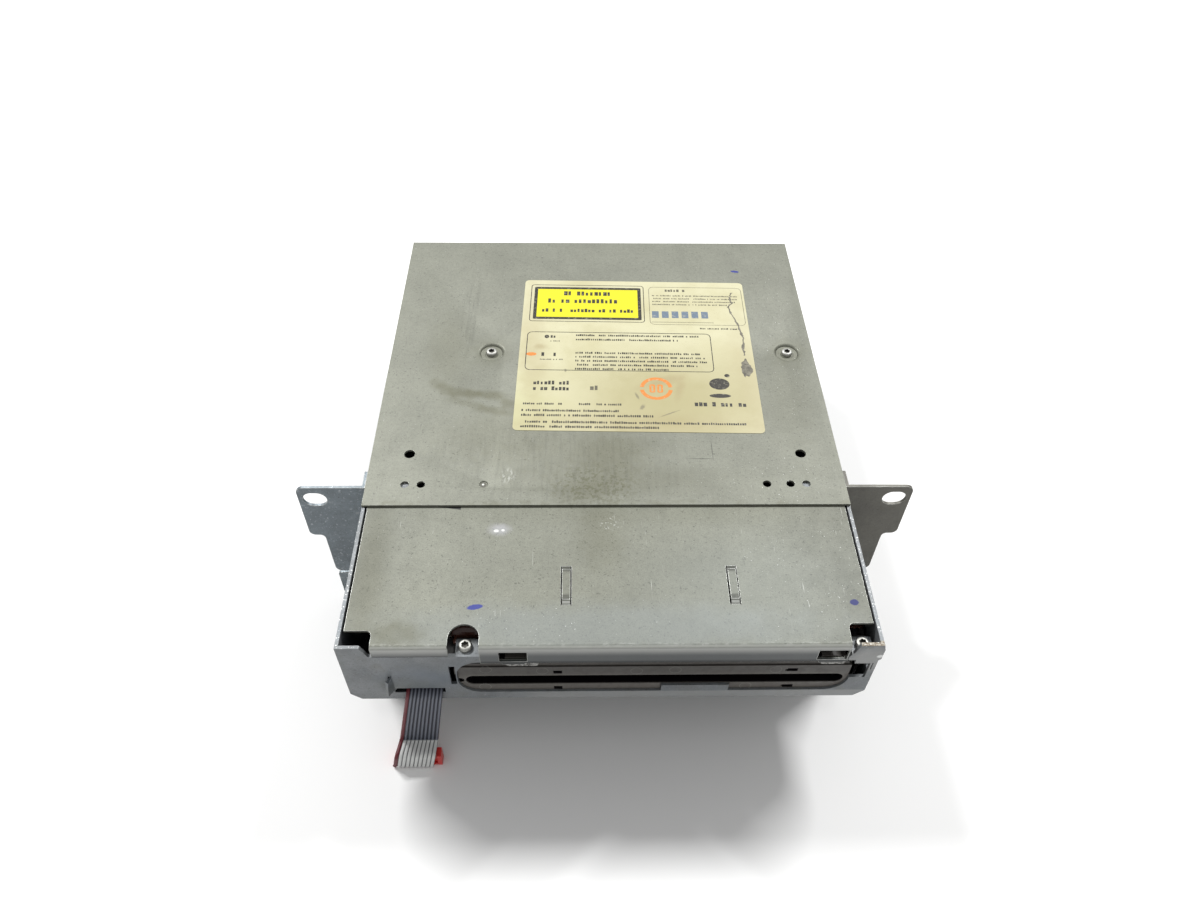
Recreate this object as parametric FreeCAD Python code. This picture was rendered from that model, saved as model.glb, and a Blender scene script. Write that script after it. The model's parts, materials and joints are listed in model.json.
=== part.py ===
import FreeCAD, Part
import math
import os

from FreeCAD import Vector

# Frame: x to the right seen from the front, y to the back, z up. The origin is under the middle of the whole
# part, on the surface that it stands on. All sizes are millimetres.

# Sheet metal body
BODY_WIDTH = 180.0
BODY_DEPTH = 221.5
BODY_HEIGHT = 72.0
CHASSIS_SHEET = 1.2
COVER_SHEET = 1.0
FRONT_FACE_HEIGHT = 35.0
LOWER_SETBACK = 26.0
SLIP_GAP = 0.1
PLAY = 0.3

# Covers
REAR_COVER_START = 58.8
COVER_OVERLAP = 7.0
COVER_SIDE_GAP = 0.8
COVER_BEND = 1.3
COVER_LIP_REAR = 8.0
LIP_DROP_LEFT = 6.4
LIP_DROP_RIGHT = 11.0
LIP_SEAM = 0.2
NOTCH_LEFT_X = -78.8
NOTCH_LEFT_DEPTH = 6.6
NOTCH_RIGHT_X = 79.5
NOTCH_RIGHT_DEPTH = 8.5
NOTCH_CORNER = 1.8
ARCH_X = -48.5
ARCH_RADIUS = 5.1
ARCH_DEPTH = 9.0
BRIDGE_WIDTH = 2.9
BRIDGE_LENGTH = 15.6
BRIDGE_BACK = 16.4
BRIDGE_HEIGHT = 0.8
BRIDGE_SLOPE = 1.6
BRIDGE_SLIT = 0.35
BRIDGE_XS = (-14.9, 42.6)
LIP_HOLES = ((-37.0, -27.7), (69.0, 79.0))
LIP_HOLE_TOP = 4.2
LIP_HOLE_BOTTOM = 9.8
LIP_RIM_DROP = 11.7
LIP_RIM_INSET = 0.8
DIMPLE_RADIUS = 4.6
DIMPLE_DEPTH = 1.0
TOP_HOLE_SPACING = 150.8
TOP_HOLE_BACK = 84.0
TOP_HOLE_RADIUS = 2.1
SMALL_HOLE_RADIUS = 1.6
SMALL_HOLE_BACK = 68.7
SMALL_HOLE_XS = (-75.5, -69.4, 60.3, 69.2, 75.2)
SMALL_DIMPLE_X = -46.1
SMALL_DIMPLE_RADIUS = 1.5
SMALL_DIMPLE_DEPTH = 0.4
WALL_FLANGE_REACH = 17.5
WALL_FLANGE_LENGTH = 15.0
VENT_INSET = 69.5
VENT_PITCH = 7.0
VENT_COUNT = 7
VENT_WIDTH = 3.0
VENT_CORNER = 1.4
VENT_BOTTOM = 16.0
VENT_TOP = 30.0
TRAY_VENT_X = -36.0
TRAY_VENT_PITCH = 8.0
TRAY_VENT_COUNT = 10
TRAY_VENT_LENGTH = 26.0

# Front plate of the shell
CORNER_LEFT_X = -82.0
CORNER_RIGHT_X = 82.4
CORNER_CHAMFER = 3.6
CORNER_BULGE = 0.8
CORNER_BOTTOM = 12.6
CORNER_RELIEF = 5.0
CORNER_RELIEF_X = 88.4
CORNER_RELIEF_BOTTOM = 20.5
OPENING_LEFT = -51.9
OPENING_RIGHT = 82.4
OPENING_TOP = 10.4
OPENING_SILL = 4.5
OPENING_CORNER = 8.0
TONGUE_LEFT = 18.0
TONGUE_RIGHT = 41.5
TONGUE_GAP = 0.4
CABLE_SLOT_LEFT = -74.3
CABLE_SLOT_RIGHT = -56.8
CABLE_SLOT_HEIGHT = 2.9
LUG_X = -74.1
LUG_RISE = 8.0
LUG_REACH = 2.6
LUG_LEAN = 0.8
LUG_CUTOUT = 3.1
SIDE_WINDOW_LEFT = 81.6
SIDE_WINDOW_RIGHT = 87.8
SIDE_WINDOW_TOP = 12.6
SIDE_WINDOW_BOTTOM = 22.0
SMALL_WINDOW_LEFT = -54.3
SMALL_WINDOW_RIGHT = -52.5
SMALL_WINDOW_TOP = 13.0
SMALL_WINDOW_BOTTOM = 24.8
SCREW_TAB_TOP = 6.4
SCREW_TAB_REACH = 6.6
SCREW_TABS = ((-51.4, -43.7), (80.3, 87.6))

# Side brackets
EAR_BACK = 67.0
EAR_SHEET = 1.2
EAR_REACH = 26.0
EAR_TAB_BOTTOM = 28.5
EAR_WAIST_REACH = 20.4
EAR_SLIT_TOP = 53.0
EAR_SLIT = 1.3
EAR_SLIT_LENGTH = 7.0
EAR_FOOT_GAP = 1.5
EAR_SLOT_CENTRE = 19.7
EAR_SLOT_DROP = 6.7
EAR_SLOT_LENGTH = 9.0
EAR_SLOT_HEIGHT = 7.4
EAR_FLANGE_TOP_LENGTH = 8.5
EAR_FLANGE_LENGTH = 26.0
EAR_FLANGE_STEP = 9.0

# Screws
SCREW_RADIUS = 1.5
SCREW_HOLE_PLAY = 0.05
SCREW_HEAD_RADIUS = 2.3
SCREW_HEAD_HEIGHT = 1.7
SCREW_LENGTH = 3.6
SCREW_SOCKET_RADIUS = 1.1
SCREW_SOCKET_DEPTH = 0.9

# Disc drive
DRIVE_X = 15.7
CAGE_LEFT = -57.2
CAGE_RIGHT = 87.0
CAGE_START = 5.2
CAGE_END = 147.0
CAGE_WALL_TOP = 10.0
CAGE_EAR_LENGTH = 8.0
CAGE_FRONT_EAR_LENGTH = 6.0
REAR_SCREW_BACK = 142.6
REAR_SCREW_SPACING = 126.6
FRONT_SCREW_BACK = 3.6
FRONT_SCREW_XS = (-48.2, 84.2)
FRONT_SCREW_LENGTH = 2.6
DISC_RADIUS = 60.0
DISC_THICKNESS = 1.2
DISC_LIFT = 10.8
DISC_SINK = 2.2
SPINDLE_BACK = 72.0

# Slot frame
BEZEL_FACE = 0.8
BEZEL_DEPTH = 4.2
BEZEL_GAP = 0.15
BEZEL_RIM = 1.2
BEZEL_LEDGE = 1.2
BEZEL_LEDGE_DROP = 15.0
BEZEL_PADS = ((-34.9, -24.3), (71.2, 79.3))
BEZEL_PAD_TOP = 11.9
BEZEL_PAD_BOTTOM = 14.2
BEZEL_PAD_CORNER = 0.9
BEZEL_SHOULDER = 1.5
SLOT_WIDTH = 130.0
SLOT_HEIGHT = 5.6
FELT_THICKNESS = 1.0
FELT_HEIGHT = 4.0
FELT_GAP = 4.8

# Loading mechanism
GEAR_MODULE = 0.6
WORM_MODULE = 0.5
ROLLER_TEETH = 10
IDLER_TEETH = 16
PINION_TEETH = 12
WHEEL_TEETH = 24
MESH_PLAY = 0.12
GEAR_WIDTH = 2.4
GEAR_CLEARANCE = 0.4
ROLLER_BACK = 17.0
ROLLER_CORE = 1.5
ROLLER_END_RADIUS = 2.9
ROLLER_WAIST_RADIUS = 2.3
ROLLER_SQUEEZE = 0.1
ROLLER_DROP_ANGLE = 12.0
GUIDE_START = 10.0
GUIDE_END = 36.0
GUIDE_PAD = 7.0
ARM_PIVOT_BACK = 30.0
ARM_SHEET = 1.2
WORM_RADIUS = 2.5
WORM_LENGTH = 8.0
WORM_SHAFT = 0.9
LOADING_MOTOR_RADIUS = 4.0
LOADING_MOTOR_LENGTH = 18.0
CAM_TRAVEL = 10.0
CAM_SHEET = 1.6
CAM_PIN_RADIUS = 1.2

# Deck, pickup and clamp
DECK_DROP = 3.0
DECK_SHEET = 1.2
DECK_START = 40.0
DECK_END = 144.0
DECK_LEFT_REACH = 52.0
DECK_RIGHT_REACH = 62.0
DAMPER_RADIUS = 4.0
DAMPER_INSET = 6.0
MOTOR_SCREW_CIRCLE = 11.3
SPINDLE_SHAFT = 1.0
SLED_SHAFT = 0.8
TURNTABLE_RADIUS = 13.0
PLATTER = 2.2
HUB_RADIUS = 7.4
MOTOR_RADIUS = 9.5
ROD_RADIUS = 1.5
ROD_SPREAD = 19.0
SCREW_SPREAD = 29.0
LEAD_PITCH = 3.0
PICKUP_INNER = 23.0
PICKUP_TRAVEL = 35.0
SLED_HALF_WIDTH = 15.0
SLED_HALF_LENGTH = 9.0
SLED_MOTOR_RADIUS = 5.0
SLED_MOTOR_FLAT = 3.2
RUNNING = 0.05
CLAMP_ANGLE = 4.6
CLAMP_PIVOT_BACK = 140.0
CLAMP_PIVOT_DROP = 11.0
PUCK_RADIUS = 12.0

# Ribbon cable
WIRE_COUNT = 10
WIRE_PITCH = 1.27
RIBBON_THICKNESS = 0.9
RIBBON_DRIFT = 0.2
RIBBON_X = -64.0
CONNECTOR_LENGTH = 16.0
CONNECTOR_X = -69.6
CONNECTOR_FRONT = -8.0
CONNECTOR_REAR = -2.3
CONNECTOR_HEIGHT = 7.9
RIBBON_END_LIFT = 0.3
CONNECTOR_ROUNDING = 1.1
CONNECTOR_KEY_WIDTH = 4.0
HEADER_BACK = 29.5
HEADER_DEPTH = 6.0
HEADER_HEIGHT = 4.6
HEADER_MARGIN = 1.2

# Electronics and rear panel
BOARD_SHEET = 1.6
BOARD_LIFT = 6.8
BOARD_SIDE_GAP = 4.8
BOARD_START = 34.0
BOARD_REAR_GAP = 13.5
DRIVE_BOARD_LIFT = 1.8
PLUG_REACH = 7.0
PLUG_CHAMBERS = (17.0, 11.0, 13.0, 11.0)
PLUG_HEIGHT = 22.0
PLUG_DEPTH = 16.0
PLUG_WALL = 1.4
PLUG_FLOOR = 3.0
PLUG_OUT = 2.5
PIN_SIDE = 0.8
PIN_LENGTH = 7.0
PIN_SPACING = 3.0
PIN_ROW = 4.0
SOCKET_RADIUS = 5.2
SOCKET_BORE = 3.4
SOCKET_XS = (47.0, 64.0)
SOCKET_INSET = 4.0
TUNER_MARGIN = 9.0
TUNER_LENGTH = 58.0
TUNER_HEIGHT = 14.0
FAN_FOOT = 23.5
FAN_HEADROOM = 8.5
FAN_DEPTH = 10.0
FAN_X = 54.0
FAN_HOLE_INSET = 4.0
FAN_SCREW_LENGTH = 8.0
FAN_HUB = 8.5
FAN_PIN = 1.0
FAN_BLADES = 7
FAN_CHORD = 6.8
FAN_PITCH_ANGLE = 52.0
SINK_LEFT = -79.0
SINK_RIGHT = -35.0
SINK_BOTTOM = 14.0
SINK_HEADROOM = 10.0
SINK_FIN = 1.4
SINK_FINS = 9
SINK_BASE = 4.0
SINK_OUT = 5.0

# Packages on the main board: x, distance from the front, width, length, height
MAIN_CHIPS = (
    (-40.0, 70.0, 24.0, 24.0, 1.6), (0.0, 72.0, 18.0, 18.0, 1.4), (34.0, 66.0, 12.0, 20.0, 1.2),
    (-8.0, 110.0, 28.0, 28.0, 2.2), (30.0, 110.0, 12.0, 20.0, 1.2), (50.0, 110.0, 12.0, 20.0, 1.2),
    (-52.0, 122.0, 16.0, 16.0, 1.4))
# Capacitors on the main board: x, distance from the front, radius
CAPACITOR_PLACES = (
    (-66.0, 150.0, 8.0), (-66.0, 170.0, 8.0), (-44.0, 152.0, 6.0), (-44.0, 168.0, 6.0), (72.0, 60.0, 5.0))

# Label
LABEL_WIDTH = 100.0
LABEL_LENGTH = 95.6
LABEL_X = 14.2
LABEL_BACK = 143.3
LABEL_TURN = -1.1
LABEL_THICKNESS = 0.2

# Places worked out from the sizes above
HALF_WIDTH = BODY_WIDTH / 2
INNER_X = HALF_WIDTH - CHASSIS_SHEET
FRONT_Y = LUG_REACH - (LUG_REACH + BODY_DEPTH + PLUG_REACH) / 2
REAR_Y = FRONT_Y + BODY_DEPTH
WALL_TOP = BODY_HEIGHT - COVER_SHEET
BAY_FLOOR = BODY_HEIGHT - FRONT_FACE_HEIGHT
SHELF_TOP = BAY_FLOOR + CHASSIS_SHEET
PANEL_Y = REAR_Y - COVER_SHEET
CAGE_FLOOR = SHELF_TOP + COVER_SHEET
CAGE_INNER_LEFT = CAGE_LEFT + COVER_SHEET
CAGE_INNER_RIGHT = CAGE_RIGHT - COVER_SHEET
HALF_TURN = 180.0
OPENING_BOTTOM = FRONT_FACE_HEIGHT - OPENING_SILL
CABLE_SLOT_BOTTOM = OPENING_BOTTOM
CABLE_SLOT_TOP = CABLE_SLOT_BOTTOM - CABLE_SLOT_HEIGHT
LUG_TOP = CABLE_SLOT_TOP - LUG_RISE
DISC_UNDERSIDE = FRONT_FACE_HEIGHT - DISC_LIFT
SLOT_MIDDLE = DISC_UNDERSIDE - DISC_THICKNESS / 2
SLOT_TOP = SLOT_MIDDLE - SLOT_HEIGHT / 2
SLOT_BOTTOM = SLOT_MIDDLE + SLOT_HEIGHT / 2
TONGUE_TOP = SLOT_BOTTOM + TONGUE_GAP
BOARD_HALF_WIDTH = INNER_X - BOARD_SIDE_GAP
BOARD_END = BODY_DEPTH - BOARD_REAR_GAP
SOCKET_START = BOARD_END - SOCKET_INSET
FAN_SIZE = BODY_HEIGHT - FAN_FOOT - FAN_HEADROOM
FAN_Z = FAN_FOOT + FAN_SIZE / 2
FAN_SCREW_SPREAD = FAN_SIZE / 2 - FAN_HOLE_INSET
FAN_SCREW_PLACES = tuple(
    (FAN_X + sx * FAN_SCREW_SPREAD, FAN_Z + sz * FAN_SCREW_SPREAD) for sx in (-1, 1) for sz in (-1, 1))
SINK_TOP = BODY_HEIGHT - SINK_HEADROOM


def back(distance):
    """y of a point this far behind the face of the front plate."""
    return FRONT_Y + distance


def drop(distance):
    """z of a point this far below the top of the body."""
    return BODY_HEIGHT - distance


DISC_Z = drop(DISC_UNDERSIDE)
SEAT_Z = DISC_Z - DISC_SINK
DECK_TOP = SEAT_Z - DECK_DROP
ROLLER_Z = DISC_Z - ROLLER_SQUEEZE - ROLLER_END_RADIUS
PLUG_WIDTH = sum(PLUG_CHAMBERS) + PLUG_WALL * (len(PLUG_CHAMBERS) + 1)
ROLLER_PITCH = GEAR_MODULE * ROLLER_TEETH / 2
IDLER_PITCH = GEAR_MODULE * IDLER_TEETH / 2
PINION_PITCH = GEAR_MODULE * PINION_TEETH / 2
WHEEL_PITCH = WORM_MODULE * WHEEL_TEETH / 2


def block(x0, x1, y0, y1, z0, z1):
    return Part.makeBox(x1 - x0, y1 - y0, z1 - z0, Vector(x0, y0, z0))


AXES = {"x": Vector(1, 0, 0), "y": Vector(0, 1, 0), "z": Vector(0, 0, 1)}


def rod(axis, start, end, centre, radius):
    """Cylinder along one axis; centre holds the other two coordinates in x, y, z order."""
    spot = list(centre)
    spot.insert("xyz".index(axis), start)
    return Part.makeCylinder(radius, end - start, Vector(*spot), AXES[axis])


def outline(points):
    """Closed plane wire through (u, v) or (u, v, corner radius) points."""
    corners = [(Vector(p[0], p[1], 0), p[2] if len(p) > 2 else 0.0) for p in points]
    edges = []
    ends = []
    for i, (here, radius) in enumerate(corners):
        before = corners[i - 1][0]
        after = corners[(i + 1) % len(corners)][0]
        if not radius:
            ends.append((here, here, None))
            continue
        inward = (before - here).normalize()
        outward = (after - here).normalize()
        half = inward.getAngle(outward) / 2
        reach = radius / math.tan(half)
        middle = (inward + outward).normalize() * (radius / math.sin(half) - radius)
        ends.append((here + inward * reach, here + outward * reach, here + middle))
    for i, (start, finish, middle) in enumerate(ends):
        if middle is not None:
            edges.append(Part.Arc(start, middle, finish).toShape())
        following = ends[(i + 1) % len(ends)][0]
        if finish.distanceToPoint(following) > 1e-6:
            edges.append(Part.LineSegment(finish, following).toShape())
    return Part.Wire(edges)


TURNS = {
    "z": FreeCAD.Rotation(),
    "y": FreeCAD.Rotation(Vector(1, 0, 0), 90),
    "x": FreeCAD.Rotation(Vector(1, 1, 1), 120),
}


def prism(axis, start, end, points):
    """Solid of one outline, drawn in (x, y), (x, z) or (y, z), between two planes across the axis."""
    face = Part.Face(outline(points))
    face.Placement = FreeCAD.Placement(AXES[axis] * start, TURNS[axis])
    return face.extrude(AXES[axis] * (end - start))


def box_outline(u0, u1, v0, v1, radius=0.0):
    return [(u0, v0, radius), (u1, v0, radius), (u1, v1, radius), (u0, v1, radius)]


def joined(shapes):
    shapes = list(shapes)
    whole = shapes[0]
    for shape in shapes[1:]:
        whole = whole.fuse(shape)
    return whole.removeSplitter()


def cut(shape, *tools):
    for tool in tools:
        shape = shape.cut(tool)
    return shape


def group(shapes):
    """Separate solids in one node."""
    return Part.makeCompound(list(shapes))


def mirrored(shape):
    return shape.mirror(Vector(0, 0, 0), Vector(1, 0, 0))


def turned(shape, centre, axis, degrees):
    copy = shape.copy()
    copy.rotate(centre, AXES[axis], degrees)
    return copy


def screw(x, y, z, direction, length=SCREW_LENGTH, radius=SCREW_RADIUS, head=SCREW_HEAD_RADIUS):
    """Pan head screw: (x, y, z) is under its head, direction points out of the head."""
    shank = Part.makeCylinder(radius, length, Vector(0, 0, -length))
    cap = Part.makeCylinder(head, SCREW_HEAD_HEIGHT)
    cap = cap.makeFillet(SCREW_HEAD_HEIGHT / 3, [cap.Edges[0]])
    socket = Part.makeCylinder(
        SCREW_SOCKET_RADIUS, SCREW_SOCKET_DEPTH, Vector(0, 0, SCREW_HEAD_HEIGHT - SCREW_SOCKET_DEPTH))
    whole = joined([shank, cap]).cut(socket)
    whole.Placement = FreeCAD.Placement(Vector(x, y, z), FreeCAD.Rotation(AXES["z"], Vector(*direction)))
    return whole


def screw_hole(x, y, z, direction, length=3.0, radius=SCREW_RADIUS + SCREW_HOLE_PLAY):
    """Round tool for the hole of a screw that sits at the same place, through the sheets under its head."""
    across = Vector(*direction)
    return Part.makeCylinder(radius, length + 1, Vector(x, y, z) + across, across * -1)


def involute(angle):
    return math.tan(angle) - angle


def gear(teeth, module, x0, x1, centre, phase, play=MESH_PLAY):
    """Spur gear about an x axis, with a tooth centred at the phase angle, measured from +y towards +z."""
    pressure = math.radians(20)
    pitch = module * teeth / 2
    base = pitch * math.cos(pressure)
    root = pitch - 1.25 * module
    tip = pitch + 0.95 * module
    half = math.pi / (2 * teeth) - play / (2 * pitch)
    steps = 4
    low = max(base, root)
    radii = [low + (tip - low) * i / (steps - 1) for i in range(steps)]
    flank = [(r, half + involute(pressure) - involute(math.acos(min(1.0, base / r)))) for r in radii]
    if root < base:
        flank.insert(0, (root, flank[0][1]))
    points = []
    for i in range(teeth):
        middle = math.radians(phase) + 2 * math.pi * i / teeth
        rise = [(r, middle - angle) for r, angle in flank]
        fall = [(r, middle + angle) for r, angle in reversed(flank)]
        points += [(centre[0] + r * math.cos(a), centre[1] + r * math.sin(a)) for r, a in rise + fall]
    return prism("x", x0, x1, points)


def meshing_phase(phase, teeth, other_teeth, direction):
    """Phase of a gear that meshes with a gear of this phase, whose centre lies in this direction."""
    step = 360.0 / teeth
    offset = (phase - direction) % step
    return direction + HALF_TURN - offset * teeth / other_teeth + HALF_TURN / other_teeth


# Sheet metal body

TRAY_SCREW_BACKS = (LOWER_SETBACK + 14.0, BODY_DEPTH / 2 + 9.25, BODY_DEPTH - 21.5)
SHELF_SCREW_BACKS = (45.0, 138.0)
SIDE_SCREW_PLACES = tuple(
    (y, z) for backs, z in ((TRAY_SCREW_BACKS, 5.0), (SHELF_SCREW_BACKS, BAY_FLOOR - 4.0)) for y in backs)
BRACKET_SCREW_PLACES = tuple((EAR_BACK + 16.0, z) for z in (drop(18.0), BAY_FLOOR - 13.0, 13.0))
PANEL_SCREW_PLACES = tuple((side * (INNER_X - 4.0), z) for side in (-1, 1) for z in (10.0, drop(14.0)))
LIP_SCREW_XS = (-55.0, 15.0)
LIP_SCREW_Z = WALL_TOP - COVER_LIP_REAR / 2


def front_plate():
    """Front of the shell: raised corners, slot frame opening, cable slot, windows and screw tabs."""
    plate = prism("y", FRONT_Y, back(CHASSIS_SHEET), [
        (-HALF_WIDTH, BAY_FLOOR + CORNER_CHAMFER),
        (-HALF_WIDTH + CORNER_CHAMFER, BAY_FLOOR),
        (HALF_WIDTH - CORNER_CHAMFER, BAY_FLOOR),
        (HALF_WIDTH, BAY_FLOOR + CORNER_CHAMFER, 1.5),
        (HALF_WIDTH, drop(CORNER_RELIEF_BOTTOM)),
        (CORNER_RELIEF_X, drop(CORNER_RELIEF_BOTTOM - 4.5)),
        (CORNER_RELIEF_X, drop(CORNER_BOTTOM)),
        (HALF_WIDTH + CORNER_BULGE, drop(CORNER_BOTTOM - 2.8), 1.5),
        (HALF_WIDTH + CORNER_BULGE, drop(4.0), 1.5),
        (HALF_WIDTH, WALL_TOP),
        (CORNER_RIGHT_X, WALL_TOP, 1.0),
        (CORNER_RIGHT_X - 1.4, drop(6.0), 1.0),
        (NOTCH_RIGHT_X + LIP_SEAM, drop(8.0)),
        (NOTCH_RIGHT_X + LIP_SEAM, drop(LIP_DROP_RIGHT + LIP_SEAM)),
        (ARCH_X + ARCH_RADIUS, drop(LIP_DROP_RIGHT + LIP_SEAM)),
        (ARCH_X + ARCH_RADIUS, drop(SCREW_TAB_TOP)),
        (ARCH_X - ARCH_RADIUS, drop(SCREW_TAB_TOP)),
        (ARCH_X - ARCH_RADIUS, drop(LIP_DROP_LEFT + LIP_SEAM)),
        (CORNER_LEFT_X + 2.2, drop(LIP_DROP_LEFT + LIP_SEAM), 0.8),
        (CORNER_LEFT_X, WALL_TOP, 1.0),
        (-HALF_WIDTH, WALL_TOP),
    ])
    thickness = (FRONT_Y - 1, back(CHASSIS_SHEET) + 1)
    opening = prism("y", *thickness, box_outline(
        OPENING_LEFT, OPENING_RIGHT, drop(OPENING_BOTTOM), drop(OPENING_TOP), OPENING_CORNER))
    square_corner = block(
        OPENING_RIGHT - 2 * OPENING_CORNER, OPENING_RIGHT, *thickness, drop(SIDE_WINDOW_BOTTOM),
        drop(OPENING_TOP))
    cable_slot = block(
        CABLE_SLOT_LEFT, CABLE_SLOT_RIGHT, *thickness, drop(CABLE_SLOT_BOTTOM), drop(CABLE_SLOT_TOP))
    side_window = block(
        SIDE_WINDOW_LEFT, SIDE_WINDOW_RIGHT, *thickness, drop(SIDE_WINDOW_BOTTOM), drop(SIDE_WINDOW_TOP))
    small_window = prism("y", *thickness, [
        (SMALL_WINDOW_LEFT, drop(SMALL_WINDOW_TOP)),
        (SMALL_WINDOW_LEFT, drop(SMALL_WINDOW_BOTTOM)),
        (SMALL_WINDOW_RIGHT - 0.5, drop(SMALL_WINDOW_BOTTOM)),
        (SMALL_WINDOW_RIGHT, drop(SMALL_WINDOW_TOP)),
    ])
    lug_rise = (drop(CABLE_SLOT_TOP + 0.8), drop(LUG_TOP))
    lug_cutout = block(LUG_X - LUG_CUTOUT, LUG_X, *thickness, *lug_rise)
    plate = cut(plate, opening, square_corner, cable_slot, side_window, small_window, lug_cutout)
    tongue = block(
        TONGUE_LEFT, TONGUE_RIGHT, FRONT_Y, back(CHASSIS_SHEET), drop(OPENING_BOTTOM + 1), drop(TONGUE_TOP))
    lug = prism("z", *lug_rise, [
        (LUG_X + 0.5, back(CHASSIS_SHEET)),
        (LUG_X + 0.5, FRONT_Y),
        (LUG_X, FRONT_Y, 0.4),
        (LUG_X - LUG_LEAN, back(-LUG_REACH)),
        (LUG_X - LUG_LEAN - 1.0, back(0.65 - LUG_REACH)),
        (LUG_X, back(CHASSIS_SHEET - 0.4), 0.4),
        (LUG_X, back(CHASSIS_SHEET)),
    ])
    tab_z = drop(SCREW_TAB_TOP)
    tabs = [
        cut(block(x0, x1, FRONT_Y, back(SCREW_TAB_REACH), tab_z - CHASSIS_SHEET, tab_z),
            screw_hole(x, back(FRONT_SCREW_BACK), tab_z, (0, 0, 1)))
        for (x0, x1), x in zip(SCREW_TABS, FRONT_SCREW_XS)
    ]
    return joined([plate, tongue, lug] + tabs)


def side_wall():
    """Right wall of the shell, with the inward flanges that the covers and the rear panel sit on."""
    wall = prism("x", INNER_X, HALF_WIDTH, [
        (FRONT_Y, BAY_FLOOR + CORNER_CHAMFER),
        (back(CORNER_CHAMFER), BAY_FLOOR),
        (back(LOWER_SETBACK), BAY_FLOOR, 2.0),
        (back(LOWER_SETBACK), 0.0),
        (REAR_Y, 0.0),
        (REAR_Y, WALL_TOP),
        (FRONT_Y, WALL_TOP),
    ])
    vents = [
        prism("x", INNER_X - 1, HALF_WIDTH + 1, box_outline(
            y, y + VENT_WIDTH, VENT_BOTTOM, VENT_TOP, VENT_CORNER))
        for y in (REAR_Y - VENT_INSET + VENT_PITCH * i for i in range(VENT_COUNT))
    ]
    holes = [
        screw_hole(HALF_WIDTH, back(y), z, (1, 0, 0)) for y, z in SIDE_SCREW_PLACES + BRACKET_SCREW_PLACES
    ]
    wall = cut(wall, *vents, *holes)
    cover_flange = block(
        HALF_WIDTH - WALL_FLANGE_REACH, INNER_X + SLIP_GAP, back(REAR_COVER_START + COVER_OVERLAP + 1.0),
        back(REAR_COVER_START + COVER_OVERLAP + WALL_FLANGE_LENGTH), WALL_TOP - CHASSIS_SHEET, WALL_TOP)
    panel_flange = block(
        INNER_X - 8.0, INNER_X + SLIP_GAP, PANEL_Y - 2 * CHASSIS_SHEET, PANEL_Y - CHASSIS_SHEET, 4.0,
        WALL_TOP - 5.0)
    panel_holes = [
        screw_hole(abs(x), PANEL_Y, z, (0, 1, 0), length=6.0) for x, z in PANEL_SCREW_PLACES if x > 0
    ]
    return joined([wall, cover_flange, cut(panel_flange, *panel_holes)])


def chassis_shell():
    right = side_wall()
    corner_gap = prism("x", INNER_X - PLAY, HALF_WIDTH + 1, [
        (back(CHASSIS_SHEET), drop(CORNER_RELIEF_BOTTOM)),
        (back(CORNER_RELIEF), drop(CORNER_RELIEF_BOTTOM), 1.5),
        (back(CORNER_RELIEF), drop(CORNER_BOTTOM), 1.5),
        (back(CHASSIS_SHEET), drop(CORNER_BOTTOM))])
    relief = rod("x", -HALF_WIDTH - 1, -INNER_X + 1, (back(1.4), WALL_TOP - 2.6), 0.9)
    return cut(joined([front_plate(), mirrored(right), right]), corner_gap, relief)


def base_tray():
    """Bottom plate with the lower front wall and two side flanges."""
    side = INNER_X - SLIP_GAP
    front = back(LOWER_SETBACK)
    floor = block(-side, side, front, PANEL_Y - CHASSIS_SHEET - SLIP_GAP, 0, CHASSIS_SHEET)
    wall = block(-side, side, front, front + CHASSIS_SHEET, 0, BAY_FLOOR - SLIP_GAP)
    flanges = [
        block(x, x + CHASSIS_SHEET, front, PANEL_Y - 3 * CHASSIS_SHEET, 0, 10.0)
        for x in (-side, side - CHASSIS_SHEET)
    ]
    holes = [
        screw_hole(sign * HALF_WIDTH, back(y), z, (sign, 0, 0), length=6.0)
        for sign in (-1, 1) for y, z in SIDE_SCREW_PLACES if z < BAY_FLOOR / 2
    ]
    vent_start = REAR_Y - VENT_INSET - 2.0
    vents = [
        prism("z", -1, CHASSIS_SHEET + 1, box_outline(
            x, x + VENT_WIDTH, vent_start, vent_start + TRAY_VENT_LENGTH, VENT_CORNER))
        for x in (TRAY_VENT_X + TRAY_VENT_PITCH * i for i in range(TRAY_VENT_COUNT))
    ]
    return cut(joined([floor, wall] + flanges), *holes, *vents)


SHELF_END = 151.0


def drive_shelf():
    """Level sheet that carries the drive, with a flange down each side wall."""
    side = INNER_X - SLIP_GAP
    sheet = block(-side, side, back(CHASSIS_SHEET + SLIP_GAP), back(SHELF_END), BAY_FLOOR, SHELF_TOP)
    flanges = [
        block(x, x + CHASSIS_SHEET, back(LOWER_SETBACK + 3.0), back(SHELF_END), BAY_FLOOR - 9.0, SHELF_TOP)
        for x in (-side, side - CHASSIS_SHEET)
    ]
    holes = [
        screw_hole(sign * HALF_WIDTH, back(y), z, (sign, 0, 0), length=6.0)
        for sign in (-1, 1) for y, z in SIDE_SCREW_PLACES if z > BAY_FLOOR / 2
    ]
    corners = [
        prism("z", BAY_FLOOR - 1, SHELF_TOP + 1, [
            (sign * (side + 1), FRONT_Y - 1),
            (sign * (side + 1), back(CORNER_CHAMFER + 1)),
            (sign * (side - CORNER_CHAMFER - 1), FRONT_Y - 1),
        ]) for sign in (-1, 1)
    ]
    return cut(joined([sheet] + flanges), *holes, *corners)


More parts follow.
